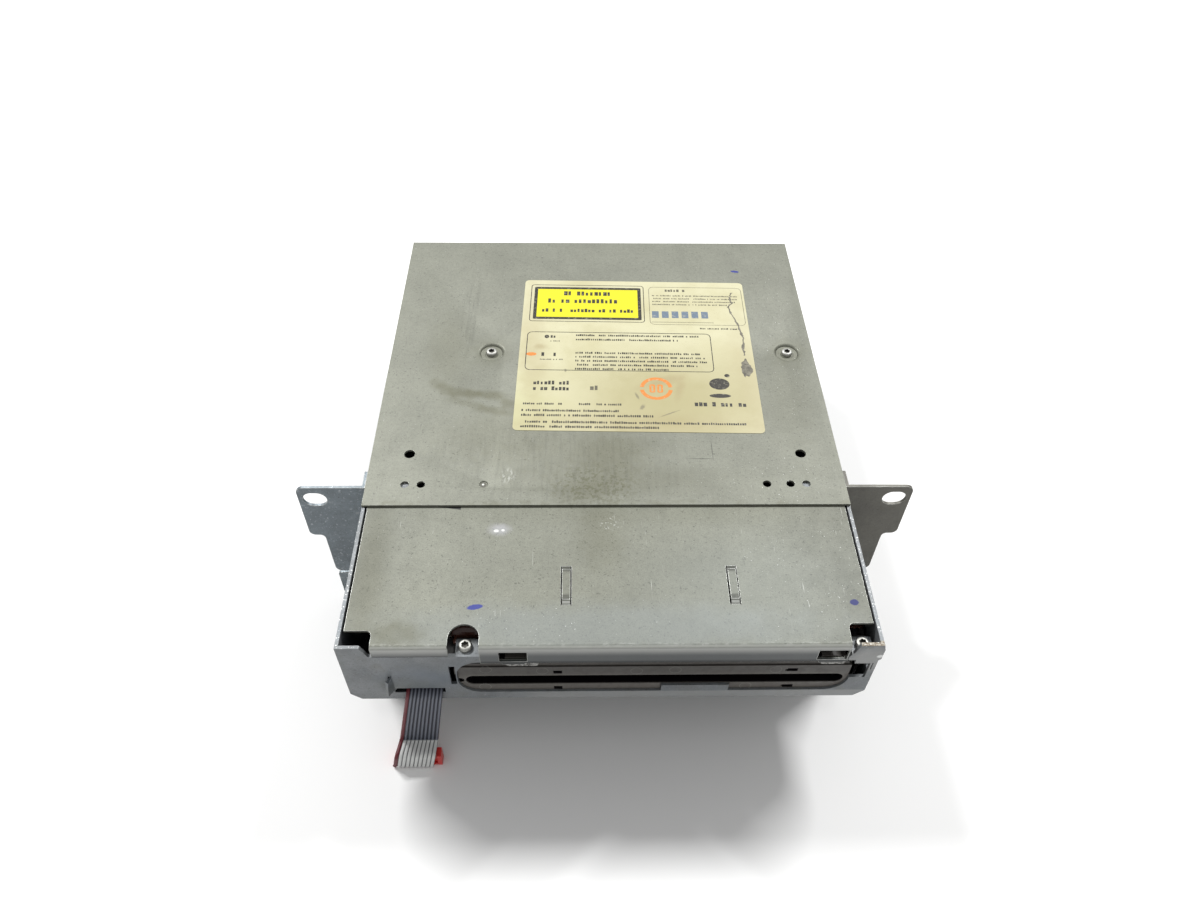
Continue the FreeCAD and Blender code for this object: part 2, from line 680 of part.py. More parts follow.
def front_top_cover():
    """Bent sheet over the drive bay, with its front lip, corner notches, arch, lip holes and two bridges."""
    side = INNER_X - COVER_SIDE_GAP
    end = back(REAR_COVER_START + COVER_OVERLAP)
    deepest = drop(LIP_DROP_RIGHT)
    profile = [
        (FRONT_Y, deepest),
        (FRONT_Y, WALL_TOP, COVER_BEND),
        (end, WALL_TOP),
        (end, WALL_TOP - COVER_SHEET),
        (back(COVER_SHEET), WALL_TOP - COVER_SHEET, COVER_BEND - COVER_SHEET),
        (back(COVER_SHEET), deepest),
    ]
    cover = prism("x", -side, side, profile)
    flanges = [
        block(x, x + COVER_SHEET, back(NOTCH_RIGHT_DEPTH + 3.0), back(REAR_COVER_START - 2.0),
              WALL_TOP - 6.0, WALL_TOP - COVER_SHEET / 2)
        for x in (-side, side - COVER_SHEET)
    ]
    cover = joined([cover] + flanges)
    tall = (deepest - 1, WALL_TOP + 1)
    left_notch = prism("z", *tall, [
        (-HALF_WIDTH - 1, FRONT_Y - 1), (NOTCH_LEFT_X, FRONT_Y - 1),
        (NOTCH_LEFT_X, back(NOTCH_LEFT_DEPTH), NOTCH_CORNER), (-HALF_WIDTH - 1, back(NOTCH_LEFT_DEPTH))])
    right_notch = prism("z", *tall, [
        (HALF_WIDTH + 1, FRONT_Y - 1), (HALF_WIDTH + 1, back(NOTCH_RIGHT_DEPTH)),
        (NOTCH_RIGHT_X, back(NOTCH_RIGHT_DEPTH), NOTCH_CORNER), (NOTCH_RIGHT_X, FRONT_Y - 1)])
    arch_y = back(ARCH_DEPTH - ARCH_RADIUS)
    arch = joined([
        rod("z", *tall, (ARCH_X, arch_y), ARCH_RADIUS),
        block(ARCH_X - ARCH_RADIUS, ARCH_X + ARCH_RADIUS, FRONT_Y - 1, arch_y, *tall)])
    short_lip = block(
        NOTCH_LEFT_X - 1, ARCH_X, FRONT_Y - 1, back(COVER_SHEET) + SLIP_GAP, deepest - 1,
        drop(LIP_DROP_LEFT))
    rims = [
        block(x0 + LIP_RIM_INSET, x1 - LIP_RIM_INSET, FRONT_Y, back(COVER_SHEET), drop(LIP_RIM_DROP),
              deepest + 1)
        for x0, x1 in LIP_HOLES
    ]
    holes = [
        block(x0, x1, FRONT_Y - 1, back(COVER_SHEET) + 1, drop(LIP_HOLE_BOTTOM), drop(LIP_HOLE_TOP))
        for x0, x1 in LIP_HOLES
    ]
    cover = cut(joined([cover] + rims), left_notch, right_notch, arch, short_lip, *holes)
    start = back(BRIDGE_BACK)
    finish = start + BRIDGE_LENGTH
    raised = WALL_TOP + BRIDGE_HEIGHT
    for x in BRIDGE_XS:
        half = BRIDGE_WIDTH / 2
        slits = block(
            x - half - BRIDGE_SLIT, x + half + BRIDGE_SLIT, start, finish, WALL_TOP - COVER_SHEET - 1,
            WALL_TOP + 1)
        bridge = prism("x", x - half, x + half, [
            (start, WALL_TOP - COVER_SHEET), (start, WALL_TOP), (start + BRIDGE_SLOPE, raised),
            (finish - BRIDGE_SLOPE, raised), (finish, WALL_TOP), (finish, WALL_TOP - COVER_SHEET),
            (finish - BRIDGE_SLOPE, raised - COVER_SHEET), (start + BRIDGE_SLOPE, raised - COVER_SHEET)])
        cover = joined([cover.cut(slits), bridge])
    return cover


REAR_SCREW_XS = (DRIVE_X - REAR_SCREW_SPACING / 2, DRIVE_X + REAR_SCREW_SPACING / 2)


def rear_top_cover():
    """Flat sheet on top of the walls, with a rear lip, two screw dimples and its row of holes."""
    sheet = block(-HALF_WIDTH, HALF_WIDTH, back(REAR_COVER_START), REAR_Y, WALL_TOP, BODY_HEIGHT)
    side = INNER_X - SLIP_GAP
    lip = block(-side, side, PANEL_Y, REAR_Y, WALL_TOP - COVER_LIP_REAR, BODY_HEIGHT)
    cover = joined([sheet, lip])
    for x in REAR_SCREW_XS:
        spot = (x, back(REAR_SCREW_BACK))
        cup = rod("z", WALL_TOP - DIMPLE_DEPTH, BODY_HEIGHT, spot, DIMPLE_RADIUS + COVER_SHEET)
        hollow = rod("z", BODY_HEIGHT - DIMPLE_DEPTH, BODY_HEIGHT + 1, spot, DIMPLE_RADIUS)
        cover = joined([cover, cup]).cut(hollow)
        cover = cover.cut(screw_hole(*spot, BODY_HEIGHT - DIMPLE_DEPTH, (0, 0, 1)))
    tall = (WALL_TOP - 1, BODY_HEIGHT + 1)
    holes = [rod("z", *tall, (x, back(TOP_HOLE_BACK)), TOP_HOLE_RADIUS)
             for x in (-TOP_HOLE_SPACING / 2, TOP_HOLE_SPACING / 2)]
    holes += [rod("z", *tall, (x, back(SMALL_HOLE_BACK)), SMALL_HOLE_RADIUS) for x in SMALL_HOLE_XS]
    small_dimple = rod(
        "z", BODY_HEIGHT - SMALL_DIMPLE_DEPTH, BODY_HEIGHT + 1, (SMALL_DIMPLE_X, back(SMALL_HOLE_BACK)),
        SMALL_DIMPLE_RADIUS)
    lip_holes = [screw_hole(x, REAR_Y, LIP_SCREW_Z, (0, 1, 0)) for x in LIP_SCREW_XS]
    return cut(cover, small_dimple, *holes, *lip_holes)


PLUG_Z = CHASSIS_SHEET + BOARD_LIFT + BOARD_SHEET
SOCKET_Z = PLUG_Z + 7.0


def rear_panel():
    """Rear wall with openings for the main plug, antenna sockets, heat sink and fan."""
    side = INNER_X - SLIP_GAP
    depth = (PANEL_Y - CHASSIS_SHEET, PANEL_Y)
    panel = block(-side, side, *depth, SLIP_GAP, WALL_TOP - SLIP_GAP)
    through = (depth[0] - 1, depth[1] + 1)
    plug = block(
        -PLUG_WIDTH / 2 - PLAY, PLUG_WIDTH / 2 + PLAY, *through, PLUG_Z - PLAY, PLUG_Z + PLUG_HEIGHT + PLAY)
    sockets = [rod("y", *through, (x, SOCKET_Z), SOCKET_RADIUS + PLAY) for x in SOCKET_XS]
    sink = block(SINK_LEFT - PLAY, SINK_RIGHT + PLAY, *through, SINK_BOTTOM - PLAY, SINK_TOP + PLAY)
    grille = []
    for inner, outer in ((7.5, 10.5), (12.5, 15.5)):
        ring = rod("y", *through, (FAN_X, FAN_Z), outer).cut(rod("y", *through, (FAN_X, FAN_Z), inner))
        spokes = [
            turned(block(FAN_X - 20, FAN_X + 20, *through, FAN_Z - 1, FAN_Z + 1),
                   Vector(FAN_X, 0, FAN_Z), "y", angle) for angle in (45, 135)
        ]
        grille.append(cut(ring, *spokes))
    fan_holes = [screw_hole(x, PANEL_Y, z, (0, 1, 0)) for x, z in FAN_SCREW_PLACES]
    screws = [screw_hole(x, PANEL_Y, z, (0, 1, 0)) for x, z in PANEL_SCREW_PLACES]
    lip_holes = [screw_hole(x, REAR_Y, LIP_SCREW_Z, (0, 1, 0), length=5.0) for x in LIP_SCREW_XS]
    return cut(panel, plug, sink, *sockets, *grille, *fan_holes, *screws, *lip_holes)


def right_bracket():
    """Ear plate across the body and the flange that lies on the side wall."""
    outer = HALF_WIDTH + EAR_REACH
    waist = HALF_WIDTH + EAR_WAIST_REACH
    slit = EAR_SLIT_TOP + EAR_SLIT
    ear = prism("y", back(EAR_BACK), back(EAR_BACK + EAR_SHEET), [
        (HALF_WIDTH, EAR_FOOT_GAP),
        (waist - 0.4, EAR_FOOT_GAP, 2.5),
        (waist - 0.4, drop(slit), 1.2),
        (waist - EAR_SLIT_LENGTH, drop(slit)),
        (waist - EAR_SLIT_LENGTH, drop(EAR_SLIT_TOP)),
        (waist, drop(EAR_SLIT_TOP), 3.0),
        (waist, drop(EAR_TAB_BOTTOM), 2.0),
        (outer, drop(EAR_TAB_BOTTOM), 2.5),
        (outer, BODY_HEIGHT, 3.0),
        (HALF_WIDTH, BODY_HEIGHT),
    ])
    slot_x = HALF_WIDTH + EAR_SLOT_CENTRE
    slot_z = drop(EAR_SLOT_DROP)
    slot = prism("y", back(EAR_BACK) - 1, back(EAR_BACK + EAR_SHEET) + 1, box_outline(
        slot_x - EAR_SLOT_LENGTH / 2, slot_x + EAR_SLOT_LENGTH / 2, slot_z - EAR_SLOT_HEIGHT / 2,
        slot_z + EAR_SLOT_HEIGHT / 2, EAR_SLOT_HEIGHT / 2 * 0.999))
    flange = prism("x", HALF_WIDTH, HALF_WIDTH + EAR_SHEET, [
        (back(EAR_BACK), EAR_FOOT_GAP),
        (back(EAR_BACK + EAR_FLANGE_LENGTH), EAR_FOOT_GAP, 3.0),
        (back(EAR_BACK + EAR_FLANGE_LENGTH), drop(EAR_FLANGE_STEP), 3.0),
        (back(EAR_BACK + EAR_FLANGE_TOP_LENGTH), drop(EAR_FLANGE_STEP), 1.5),
        (back(EAR_BACK + EAR_FLANGE_TOP_LENGTH), BODY_HEIGHT, 0.8),
        (back(EAR_BACK), BODY_HEIGHT),
    ])
    holes = [screw_hole(HALF_WIDTH + EAR_SHEET, back(y), z, (1, 0, 0)) for y, z in BRACKET_SCREW_PLACES]
    return cut(joined([ear.cut(slot), flange]), *holes)


def rating_label():
    half_width = LABEL_WIDTH / 2
    half_length = LABEL_LENGTH / 2
    sheet = prism("z", BODY_HEIGHT, BODY_HEIGHT + LABEL_THICKNESS,
                  box_outline(-half_width, half_width, -half_length, half_length, 2.0))
    sheet.rotate(Vector(0, 0, 0), AXES["z"], LABEL_TURN)
    sheet.translate(Vector(LABEL_X, back(LABEL_BACK), 0))
    return sheet


def cover_screws():
    top = [screw(x, back(REAR_SCREW_BACK), BODY_HEIGHT - DIMPLE_DEPTH, (0, 0, 1)) for x in REAR_SCREW_XS]
    lip = [screw(x, REAR_Y, LIP_SCREW_Z, (0, 1, 0)) for x in LIP_SCREW_XS]
    return group(top + lip)


def front_screws():
    return group(
        screw(x, back(FRONT_SCREW_BACK), drop(SCREW_TAB_TOP), (0, 0, 1), length=FRONT_SCREW_LENGTH)
        for x in FRONT_SCREW_XS)


def side_screws():
    return group(
        screw(sign * HALF_WIDTH, back(y), z, (sign, 0, 0))
        for sign in (-1, 1) for y, z in SIDE_SCREW_PLACES)


def bracket_screws():
    seat = HALF_WIDTH + EAR_SHEET
    return group(
        screw(sign * seat, back(y), z, (sign, 0, 0)) for sign in (-1, 1) for y, z in BRACKET_SCREW_PLACES)


def panel_screws():
    return group(screw(x, PANEL_Y, z, (0, 1, 0)) for x, z in PANEL_SCREW_PLACES)


# Slot frame

def slot_bezel():
    """Plastic frame round the disc slot: a face inside the plate's opening and a rim behind the plate."""
    face = back(BEZEL_FACE)
    rear = face + BEZEL_DEPTH
    left = OPENING_LEFT + BEZEL_GAP
    right = OPENING_RIGHT - BEZEL_GAP
    top = drop(OPENING_TOP + 2 * BEZEL_GAP)
    bottom = drop(OPENING_BOTTOM - BEZEL_GAP)
    corner = OPENING_CORNER - BEZEL_GAP
    middle = drop(SLOT_MIDDLE)
    boss = prism("y", face, rear, [
        (left, bottom, corner), (right, bottom, corner), (right, top, BEZEL_SHOULDER), (left, top, corner)])
    ledge = block(left - 1, right + 1, face - 1, face + BEZEL_LEDGE, drop(BEZEL_LEDGE_DROP), top + 1)
    pads = [
        prism("y", face, rear, [
            (x0, drop(BEZEL_PAD_BOTTOM), BEZEL_PAD_CORNER), (x1, drop(BEZEL_PAD_BOTTOM), BEZEL_PAD_CORNER),
            (x1, drop(BEZEL_PAD_TOP)), (x0, drop(BEZEL_PAD_TOP))])
        for x0, x1 in BEZEL_PADS
    ]
    pocket = block(
        TONGUE_LEFT - PLAY, TONGUE_RIGHT + PLAY, face - 1, back(CHASSIS_SHEET + SLIP_GAP), bottom - 1,
        drop(TONGUE_TOP - PLAY))
    rim = prism("y", back(CHASSIS_SHEET + SLIP_GAP), rear, box_outline(
        left - BEZEL_RIM, right, bottom - BEZEL_RIM, drop(OPENING_TOP) + BEZEL_RIM, corner + BEZEL_RIM))
    slot = prism("y", face - 1, rear + 1, box_outline(
        DRIVE_X - SLOT_WIDTH / 2, DRIVE_X + SLOT_WIDTH / 2, drop(SLOT_BOTTOM), drop(SLOT_TOP),
        SLOT_HEIGHT / 2 * 0.98))
    marks = [
        block(x0, x1, face - 1, face + 1.5, drop(d + 0.6), drop(d - 0.6))
        for x0, x1 in ((-19.3, -16.3), (60.0, 64.0)) for d in (SLOT_TOP - 2.6, SLOT_BOTTOM + 2.5)
    ]
    bite = rod("y", face - 1, face + 1.5, (left + 0.6, middle), 1.3)
    return cut(joined([cut(boss, ledge, pocket), rim] + pads), slot, bite, *marks)


def slot_felts():
    """Two felt wipers glued behind the slot frame, above and below the disc path."""
    rear = back(BEZEL_FACE + BEZEL_DEPTH)
    middle = drop(SLOT_MIDDLE)
    half = SLOT_WIDTH / 2
    return group(
        block(DRIVE_X - half, DRIVE_X + half, rear, rear + FELT_THICKNESS, z, z + FELT_HEIGHT)
        for z in (middle + FELT_GAP / 2, middle - FELT_GAP / 2 - FELT_HEIGHT))


# Drive cage and loading mechanism

IDLER_PLACE = (back(ROLLER_BACK), ROLLER_Z + ROLLER_PITCH + IDLER_PITCH + MESH_PLAY)
WORM_Z = CAGE_FLOOR + PLAY + LOADING_MOTOR_RADIUS
WHEEL_Z = WORM_Z + WORM_RADIUS + WHEEL_PITCH + MESH_PLAY
WHEEL_RISE = WHEEL_Z - IDLER_PLACE[1]
WHEEL_RUN = math.sqrt((IDLER_PITCH + PINION_PITCH + MESH_PLAY) ** 2 - WHEEL_RISE ** 2)
WHEEL_PLACE = (IDLER_PLACE[0] + WHEEL_RUN, WHEEL_Z)
TRAIN_X = CAGE_INNER_LEFT + GEAR_CLEARANCE
WHEEL_X = TRAIN_X + GEAR_WIDTH + GEAR_CLEARANCE
WORM_X = WHEEL_X + GEAR_WIDTH / 2
ARM_LEFT = WORM_X + LOADING_MOTOR_RADIUS + COVER_SHEET + 4 * PLAY
ARM_RIGHT = CAGE_INNER_RIGHT - CAM_SHEET - 2 * PLAY - ARM_SHEET
ARM_PIVOT = Vector(0, back(ARM_PIVOT_BACK), ROLLER_Z)
CLAMP_PIVOT = Vector(0, back(CLAMP_PIVOT_BACK), drop(CLAMP_PIVOT_DROP))
ARM_PIN = Vector(0, back(ARM_PIVOT_BACK - 6.0), ROLLER_Z + 5.5)
CLAMP_PIN = Vector(0, back(CLAMP_PIVOT_BACK - 9.0), CLAMP_PIVOT.z - 5.0)
CAM_X = CAGE_INNER_RIGHT - PLAY - CAM_SHEET
CAM_GUIDES = (60.0, 104.0)
CAM_GUIDE_Z = ROLLER_Z + 9.5
STUD_RADIUS = 1.2


def drive_cage():
    """U-shaped sheet frame of the drive, with front flanges, screw ears, studs and pivot stand."""
    start = back(CAGE_START)
    end = back(CAGE_END)
    wall_top = drop(CAGE_WALL_TOP)
    floor = block(CAGE_LEFT, CAGE_RIGHT, start, end, SHELF_TOP, CAGE_FLOOR)
    roller_bay = block(
        CAGE_INNER_LEFT, ARM_RIGHT + 2.0, back(9.0), back(ROLLER_BACK + 7.0), SHELF_TOP - 1, CAGE_FLOOR + 1)
    deck_bay = block(
        DRIVE_X - 40.0, DRIVE_X + 50.0, back(DECK_START + 13.0), back(DECK_END), SHELF_TOP - 1,
        CAGE_FLOOR + 1)
    walls = [
        block(x, x + COVER_SHEET, start, end, SHELF_TOP, wall_top) for x in (CAGE_LEFT, CAGE_INNER_RIGHT)
    ]
    ears = []
    front_y = CHASSIS_SHEET + 2 * PLAY
    front_z = drop(SCREW_TAB_TOP) - CHASSIS_SHEET - SLIP_GAP
    rear_y = REAR_SCREW_BACK - CAGE_EAR_LENGTH / 2
    rear_z = BODY_HEIGHT - DIMPLE_DEPTH - COVER_SHEET - SLIP_GAP
    for x, wall_x, y, z, length in (
            (FRONT_SCREW_XS[0], CAGE_LEFT, front_y, front_z, CAGE_FRONT_EAR_LENGTH),
            (FRONT_SCREW_XS[1], CAGE_RIGHT, front_y, front_z, CAGE_FRONT_EAR_LENGTH),
            (REAR_SCREW_XS[0], CAGE_LEFT, rear_y, rear_z, CAGE_EAR_LENGTH),
            (REAR_SCREW_XS[1], CAGE_RIGHT, rear_y, rear_z, CAGE_EAR_LENGTH)):
        towards = math.copysign(1, x - wall_x)
        x0, x1 = sorted((wall_x, x + towards * 3.2))
        ears.append(block(x0, x1, back(y), back(y + length), z - COVER_SHEET, z))
        x0, x1 = sorted((wall_x, wall_x + towards * COVER_SHEET))
        ears.append(block(x0, x1, max(back(y), start), back(y + length), wall_top - 1, z))
    stand = block(
        ARM_LEFT - PLAY - COVER_SHEET, ARM_LEFT - PLAY, ARM_PIVOT.y - 3.0, ARM_PIVOT.y + 3.0,
        CAGE_FLOOR - COVER_SHEET / 2, ROLLER_Z + 3.0)
    idler_stud = rod("x", CAGE_INNER_LEFT - SLIP_GAP, TRAIN_X + GEAR_WIDTH + PLAY, IDLER_PLACE, STUD_RADIUS)
    wheel_stud = rod("x", CAGE_INNER_LEFT - SLIP_GAP, WHEEL_X + GEAR_WIDTH + PLAY, WHEEL_PLACE, STUD_RADIUS)
    guides = [
        rod("x", CAM_X - PLAY, CAGE_INNER_RIGHT + SLIP_GAP, (back(y), CAM_GUIDE_Z), CAM_PIN_RADIUS)
        for y in CAM_GUIDES
    ]
    cage = joined([cut(floor, roller_bay, deck_bay), stand, idler_stud, wheel_stud] + walls + ears + guides)
    rod_hole = rod(
        "x", ARM_LEFT - 5.0, CAGE_RIGHT + 1, (ARM_PIVOT.y, ARM_PIVOT.z), ROD_RADIUS + SCREW_HOLE_PLAY)
    clamp_holes = rod(
        "x", CAGE_LEFT - 1, CAGE_RIGHT + 1, (CLAMP_PIVOT.y, CLAMP_PIVOT.z), STUD_RADIUS + RUNNING)
    screw_holes = [
        screw_hole(x, back(FRONT_SCREW_BACK), drop(SCREW_TAB_TOP), (0, 0, 1), length=6.0)
        for x in FRONT_SCREW_XS
    ] + [
        screw_hole(x, back(REAR_SCREW_BACK), BODY_HEIGHT, (0, 0, 1), length=6.0) for x in REAR_SCREW_XS
    ]
    return cut(cage, rod_hole, clamp_holes, *screw_holes)


def disc_guide():
    """Plastic guide over the disc path: a rim behind the slot frame and low pads at the disc's edges."""
    left = DRIVE_X - DISC_RADIUS - 2.0
    right = DRIVE_X + DISC_RADIUS + 2.0
    low = DISC_Z + DISC_THICKNESS + 0.3
    plate = block(left, right, back(GUIDE_START), back(GUIDE_END), low + 2.0, low + 4.0)
    pads = [
        block(x, x + GUIDE_PAD, back(GUIDE_START), back(GUIDE_END), low, low + 4.0)
        for x in (left, right - GUIDE_PAD)
    ]
    rim = prism("x", left, right, [
        (back(8.4), low + 1.0), (back(10.4), low + 1.0), (back(10.4), drop(9.0)),
        (back(12.6), drop(7.6), 0.8), (back(8.4), drop(7.6), 0.8)])
    wings = [
        block(x0, x1, back(12.0), back(24.0), drop(CAGE_WALL_TOP) + SLIP_GAP, drop(CAGE_WALL_TOP) + 1.6)
        for x0, x1 in ((CAGE_LEFT + 0.2, left + 1.0), (right - 1.0, CAGE_RIGHT - 0.2))
    ]
    posts = [
        block(x, x + 3.0, back(10.4), back(16.0), low + 3.0, drop(CAGE_WALL_TOP) + 1.6)
        for x in (left, right - 3.0)
    ]
    return joined([plate, rim] + pads + wings + posts)


def roller_arm():
    """Bent sheet lever that lifts the feed roller, with a cam pin on its right ear."""
    pivot = (ARM_PIVOT.y, ARM_PIVOT.z)
    axis = (back(ROLLER_BACK), ROLLER_Z)
    ear = [
        (axis[0] - 3.0, axis[1] - 2.2, 1.0), (pivot[0] + 3.0, pivot[1] - 2.6, 1.0),
        (pivot[0] + 3.0, pivot[1] + 2.6, 1.0), (axis[0] - 3.0, axis[1] + 2.2, 1.0)]
    pin_ear = [
        (axis[0] - 3.0, axis[1] - 2.2, 1.0), (pivot[0] + 3.0, pivot[1] - 2.6, 1.0),
        (pivot[0] + 3.0, pivot[1] + 2.6, 1.0), (ARM_PIN.y + 2.0, ARM_PIN.z + 2.0, 1.0),
        (ARM_PIN.y - 2.0, ARM_PIN.z + 2.0, 1.0), (axis[0] - 3.0, axis[1] + 2.2, 1.0)]
    left = prism("x", ARM_LEFT, ARM_LEFT + ARM_SHEET, ear)
    right = prism("x", ARM_RIGHT, ARM_RIGHT + ARM_SHEET, pin_ear)
    web = block(
        ARM_LEFT, ARM_RIGHT + ARM_SHEET, pivot[0] - 7.0, pivot[0] - 2.4, pivot[1] - 2.6, pivot[1] - 1.4)
    pin = rod(
        "x", ARM_RIGHT + ARM_SHEET / 2, CAM_X + CAM_SHEET - SLIP_GAP, (ARM_PIN.y, ARM_PIN.z), CAM_PIN_RADIUS)
    pivot_hole = rod("x", ARM_LEFT - 1, ARM_RIGHT + 3, pivot, ROD_RADIUS + RUNNING)
    shaft_hole = rod("x", ARM_LEFT - 1, ARM_RIGHT + 3, axis, ROLLER_CORE + RUNNING)
    return cut(joined([left, right, web, pin]), pivot_hole, shaft_hole)


def roller_arm_rod():
    return rod("x", ARM_LEFT - PLAY - COVER_SHEET - 0.4, CAGE_RIGHT, (ARM_PIVOT.y, ARM_PIVOT.z), ROD_RADIUS)


ROLLER_PLACE = (back(ROLLER_BACK), ROLLER_Z)


def roller_shaft():
    return rod("x", TRAIN_X - 0.2, ARM_RIGHT + ARM_SHEET + PLAY, ROLLER_PLACE, ROLLER_CORE)


def feed_rubbers():
    """Two rubber sleeves on the shaft, thick at the disc's edges and thin in the middle."""
    left = ARM_LEFT + ARM_SHEET + PLAY
    right = 2 * DRIVE_X - left
    gap = 4.0
    sleeves = []
    for start, finish in ((left, DRIVE_X - gap), (right, DRIVE_X + gap)):
        direction = Vector(math.copysign(1, finish - start), 0, 0)
        sleeve = Part.makeCone(
            ROLLER_END_RADIUS, ROLLER_WAIST_RADIUS, abs(finish - start), Vector(start, *ROLLER_PLACE),
            direction)
        bore = rod("x", left - 1, right + 1, ROLLER_PLACE, ROLLER_CORE)
        sleeves.append(sleeve.cut(bore))
    return group(sleeves)


IDLER_PHASE = -90.0
WHEEL_DIRECTION = math.degrees(math.atan2(WHEEL_RISE, WHEEL_RUN))


def roller_gear():
    phase = meshing_phase(IDLER_PHASE, IDLER_TEETH, ROLLER_TEETH, IDLER_PHASE)
    body = gear(ROLLER_TEETH, GEAR_MODULE, TRAIN_X, TRAIN_X + GEAR_WIDTH, ROLLER_PLACE, phase)
    return body.cut(rod("x", TRAIN_X - 1, TRAIN_X + GEAR_WIDTH + 1, ROLLER_PLACE, ROLLER_CORE))


def idler_gear():
    body = gear(IDLER_TEETH, GEAR_MODULE, TRAIN_X, TRAIN_X + GEAR_WIDTH, IDLER_PLACE, IDLER_PHASE)
    return body.cut(rod("x", TRAIN_X - 1, TRAIN_X + GEAR_WIDTH + 1, IDLER_PLACE, STUD_RADIUS + RUNNING))


def reduction_gear():
    """Worm wheel and pinion moulded in one piece."""
    phase = meshing_phase(IDLER_PHASE, IDLER_TEETH, PINION_TEETH, WHEEL_DIRECTION)
    pinion = gear(PINION_TEETH, GEAR_MODULE, TRAIN_X, WHEEL_X, WHEEL_PLACE, phase)
    wheel = gear(WHEEL_TEETH, WORM_MODULE, WHEEL_X, WHEEL_X + GEAR_WIDTH, WHEEL_PLACE, -90.0, 2 * MESH_PLAY)
    return joined([pinion, wheel]).cut(
        rod("x", TRAIN_X - 1, WHEEL_X + GEAR_WIDTH + 1, WHEEL_PLACE, STUD_RADIUS + RUNNING))


def loading_worm():
    """Worm on the motor shaft: a core with one helical thread."""
    pitch = math.pi * WORM_MODULE
    core = WORM_RADIUS - 1.25 * WORM_MODULE
    tip = WORM_RADIUS + 0.85 * WORM_MODULE
    start = WHEEL_PLACE[0] - WORM_LENGTH / 2
    turns = 4
    helix = Part.makeHelix(pitch, pitch * turns, core)
    foot = 0.5 * pitch - 2 * MESH_PLAY
    crest = 0.2 * pitch
    section = Part.Wire(Part.makePolygon([
        Vector(core - 0.3, 0, -foot / 2 - 0.08), Vector(tip, 0, -crest / 2), Vector(tip, 0, crest / 2),
        Vector(core - 0.3, 0, foot / 2 + 0.08), Vector(core - 0.3, 0, -foot / 2 - 0.08)]))
    thread = Part.Wire(helix.Edges).makePipeShell([section], True, True)
    body = Part.makeCylinder(core, WORM_LENGTH, Vector(0, 0, -WORM_LENGTH / 2))
    thread.translate(Vector(0, 0, -pitch * (turns / 2 + 0.25)))
    worm = body.fuse(thread)
    shaft = Part.makeCylinder(WORM_SHAFT, WORM_LENGTH + 6.0, Vector(0, 0, -WORM_LENGTH / 2))
    worm = worm.fuse(shaft)
    worm.Placement = FreeCAD.Placement(
        Vector(WORM_X, WHEEL_PLACE[0], WORM_Z), FreeCAD.Rotation(Vector(1, 0, 0), -90))
    return worm


def loading_motor():
    start = WHEEL_PLACE[0] + WORM_LENGTH / 2 + 1.0
    can = rod("y", start, start + LOADING_MOTOR_LENGTH, (WORM_X, WORM_Z), LOADING_MOTOR_RADIUS)
    bore = rod("y", start - 1, start + 6.0, (WORM_X, WORM_Z), WORM_SHAFT + RUNNING)
    foot = block(
        WORM_X - 4.0, WORM_X + 4.0, start + 2.0, start + LOADING_MOTOR_LENGTH - 2.0, CAGE_FLOOR, WORM_Z)
    return joined([can, foot]).cut(bore)


def cam_path(pivot, pin, degrees, steps=6):
    """Places that a pin on a turning lever takes in the cam slider, from rest to the end of the slide."""
    places = []
    for i in range(steps + 1):
        share = i / steps
        angle = math.radians(degrees * share)
        y = pin.y - pivot.y
        z = pin.z - pivot.z
        places.append((
            pivot.y + y * math.cos(angle) - z * math.sin(angle) - CAM_TRAVEL * share,
            pivot.z + y * math.sin(angle) + z * math.cos(angle)))
    return places


def track(places, radius, x0, x1):
    """Slot for a pin of nearly this radius along a row of places."""
    pieces = [rod("x", x0, x1, place, radius) for place in places]
    for (y0, z0), (y1, z1) in zip(places, places[1:]):
        length = math.hypot(y1 - y0, z1 - z0)
        across = ((z0 - z1) / length * radius, (y1 - y0) / length * radius)
        pieces.append(prism("x", x0, x1, [
            (y0 - across[0], z0 - across[1]), (y1 - across[0], z1 - across[1]),
            (y1 + across[0], z1 + across[1]), (y0 + across[0], z0 + across[1])]))
    return joined(pieces)


CLAMP_PIN_UP = turned(Part.Vertex(CLAMP_PIN), CLAMP_PIVOT, "x", -CLAMP_ANGLE).Point


def cam_slider():
    """Long plate on the right of the cage; its two tracks lower the roller and the clamp together."""
    x0 = CAM_X
    x1 = CAM_X + CAM_SHEET
    plate = prism("x", x0, x1, box_outline(
        back(9.0), back(CLAMP_PIVOT_BACK - 5.0), ROLLER_Z + 1.6, CLAMP_PIN.z + 3.2, 1.5))
    wide = CAM_PIN_RADIUS + RUNNING
    low = track(cam_path(ARM_PIVOT, ARM_PIN, ROLLER_DROP_ANGLE), wide, x0 - 1, x1 + 1)
    high = track(cam_path(CLAMP_PIVOT, CLAMP_PIN_UP, CLAMP_ANGLE), wide, x0 - 1, x1 + 1)
    guides = [
        track([(back(y), CAM_GUIDE_Z), (back(y) - CAM_TRAVEL, CAM_GUIDE_Z)], wide, x0 - 1, x1 + 1)
        for y in CAM_GUIDES
    ]
    return cut(plate, low, high, *guides)


# Deck with spindle, turntable and pickup

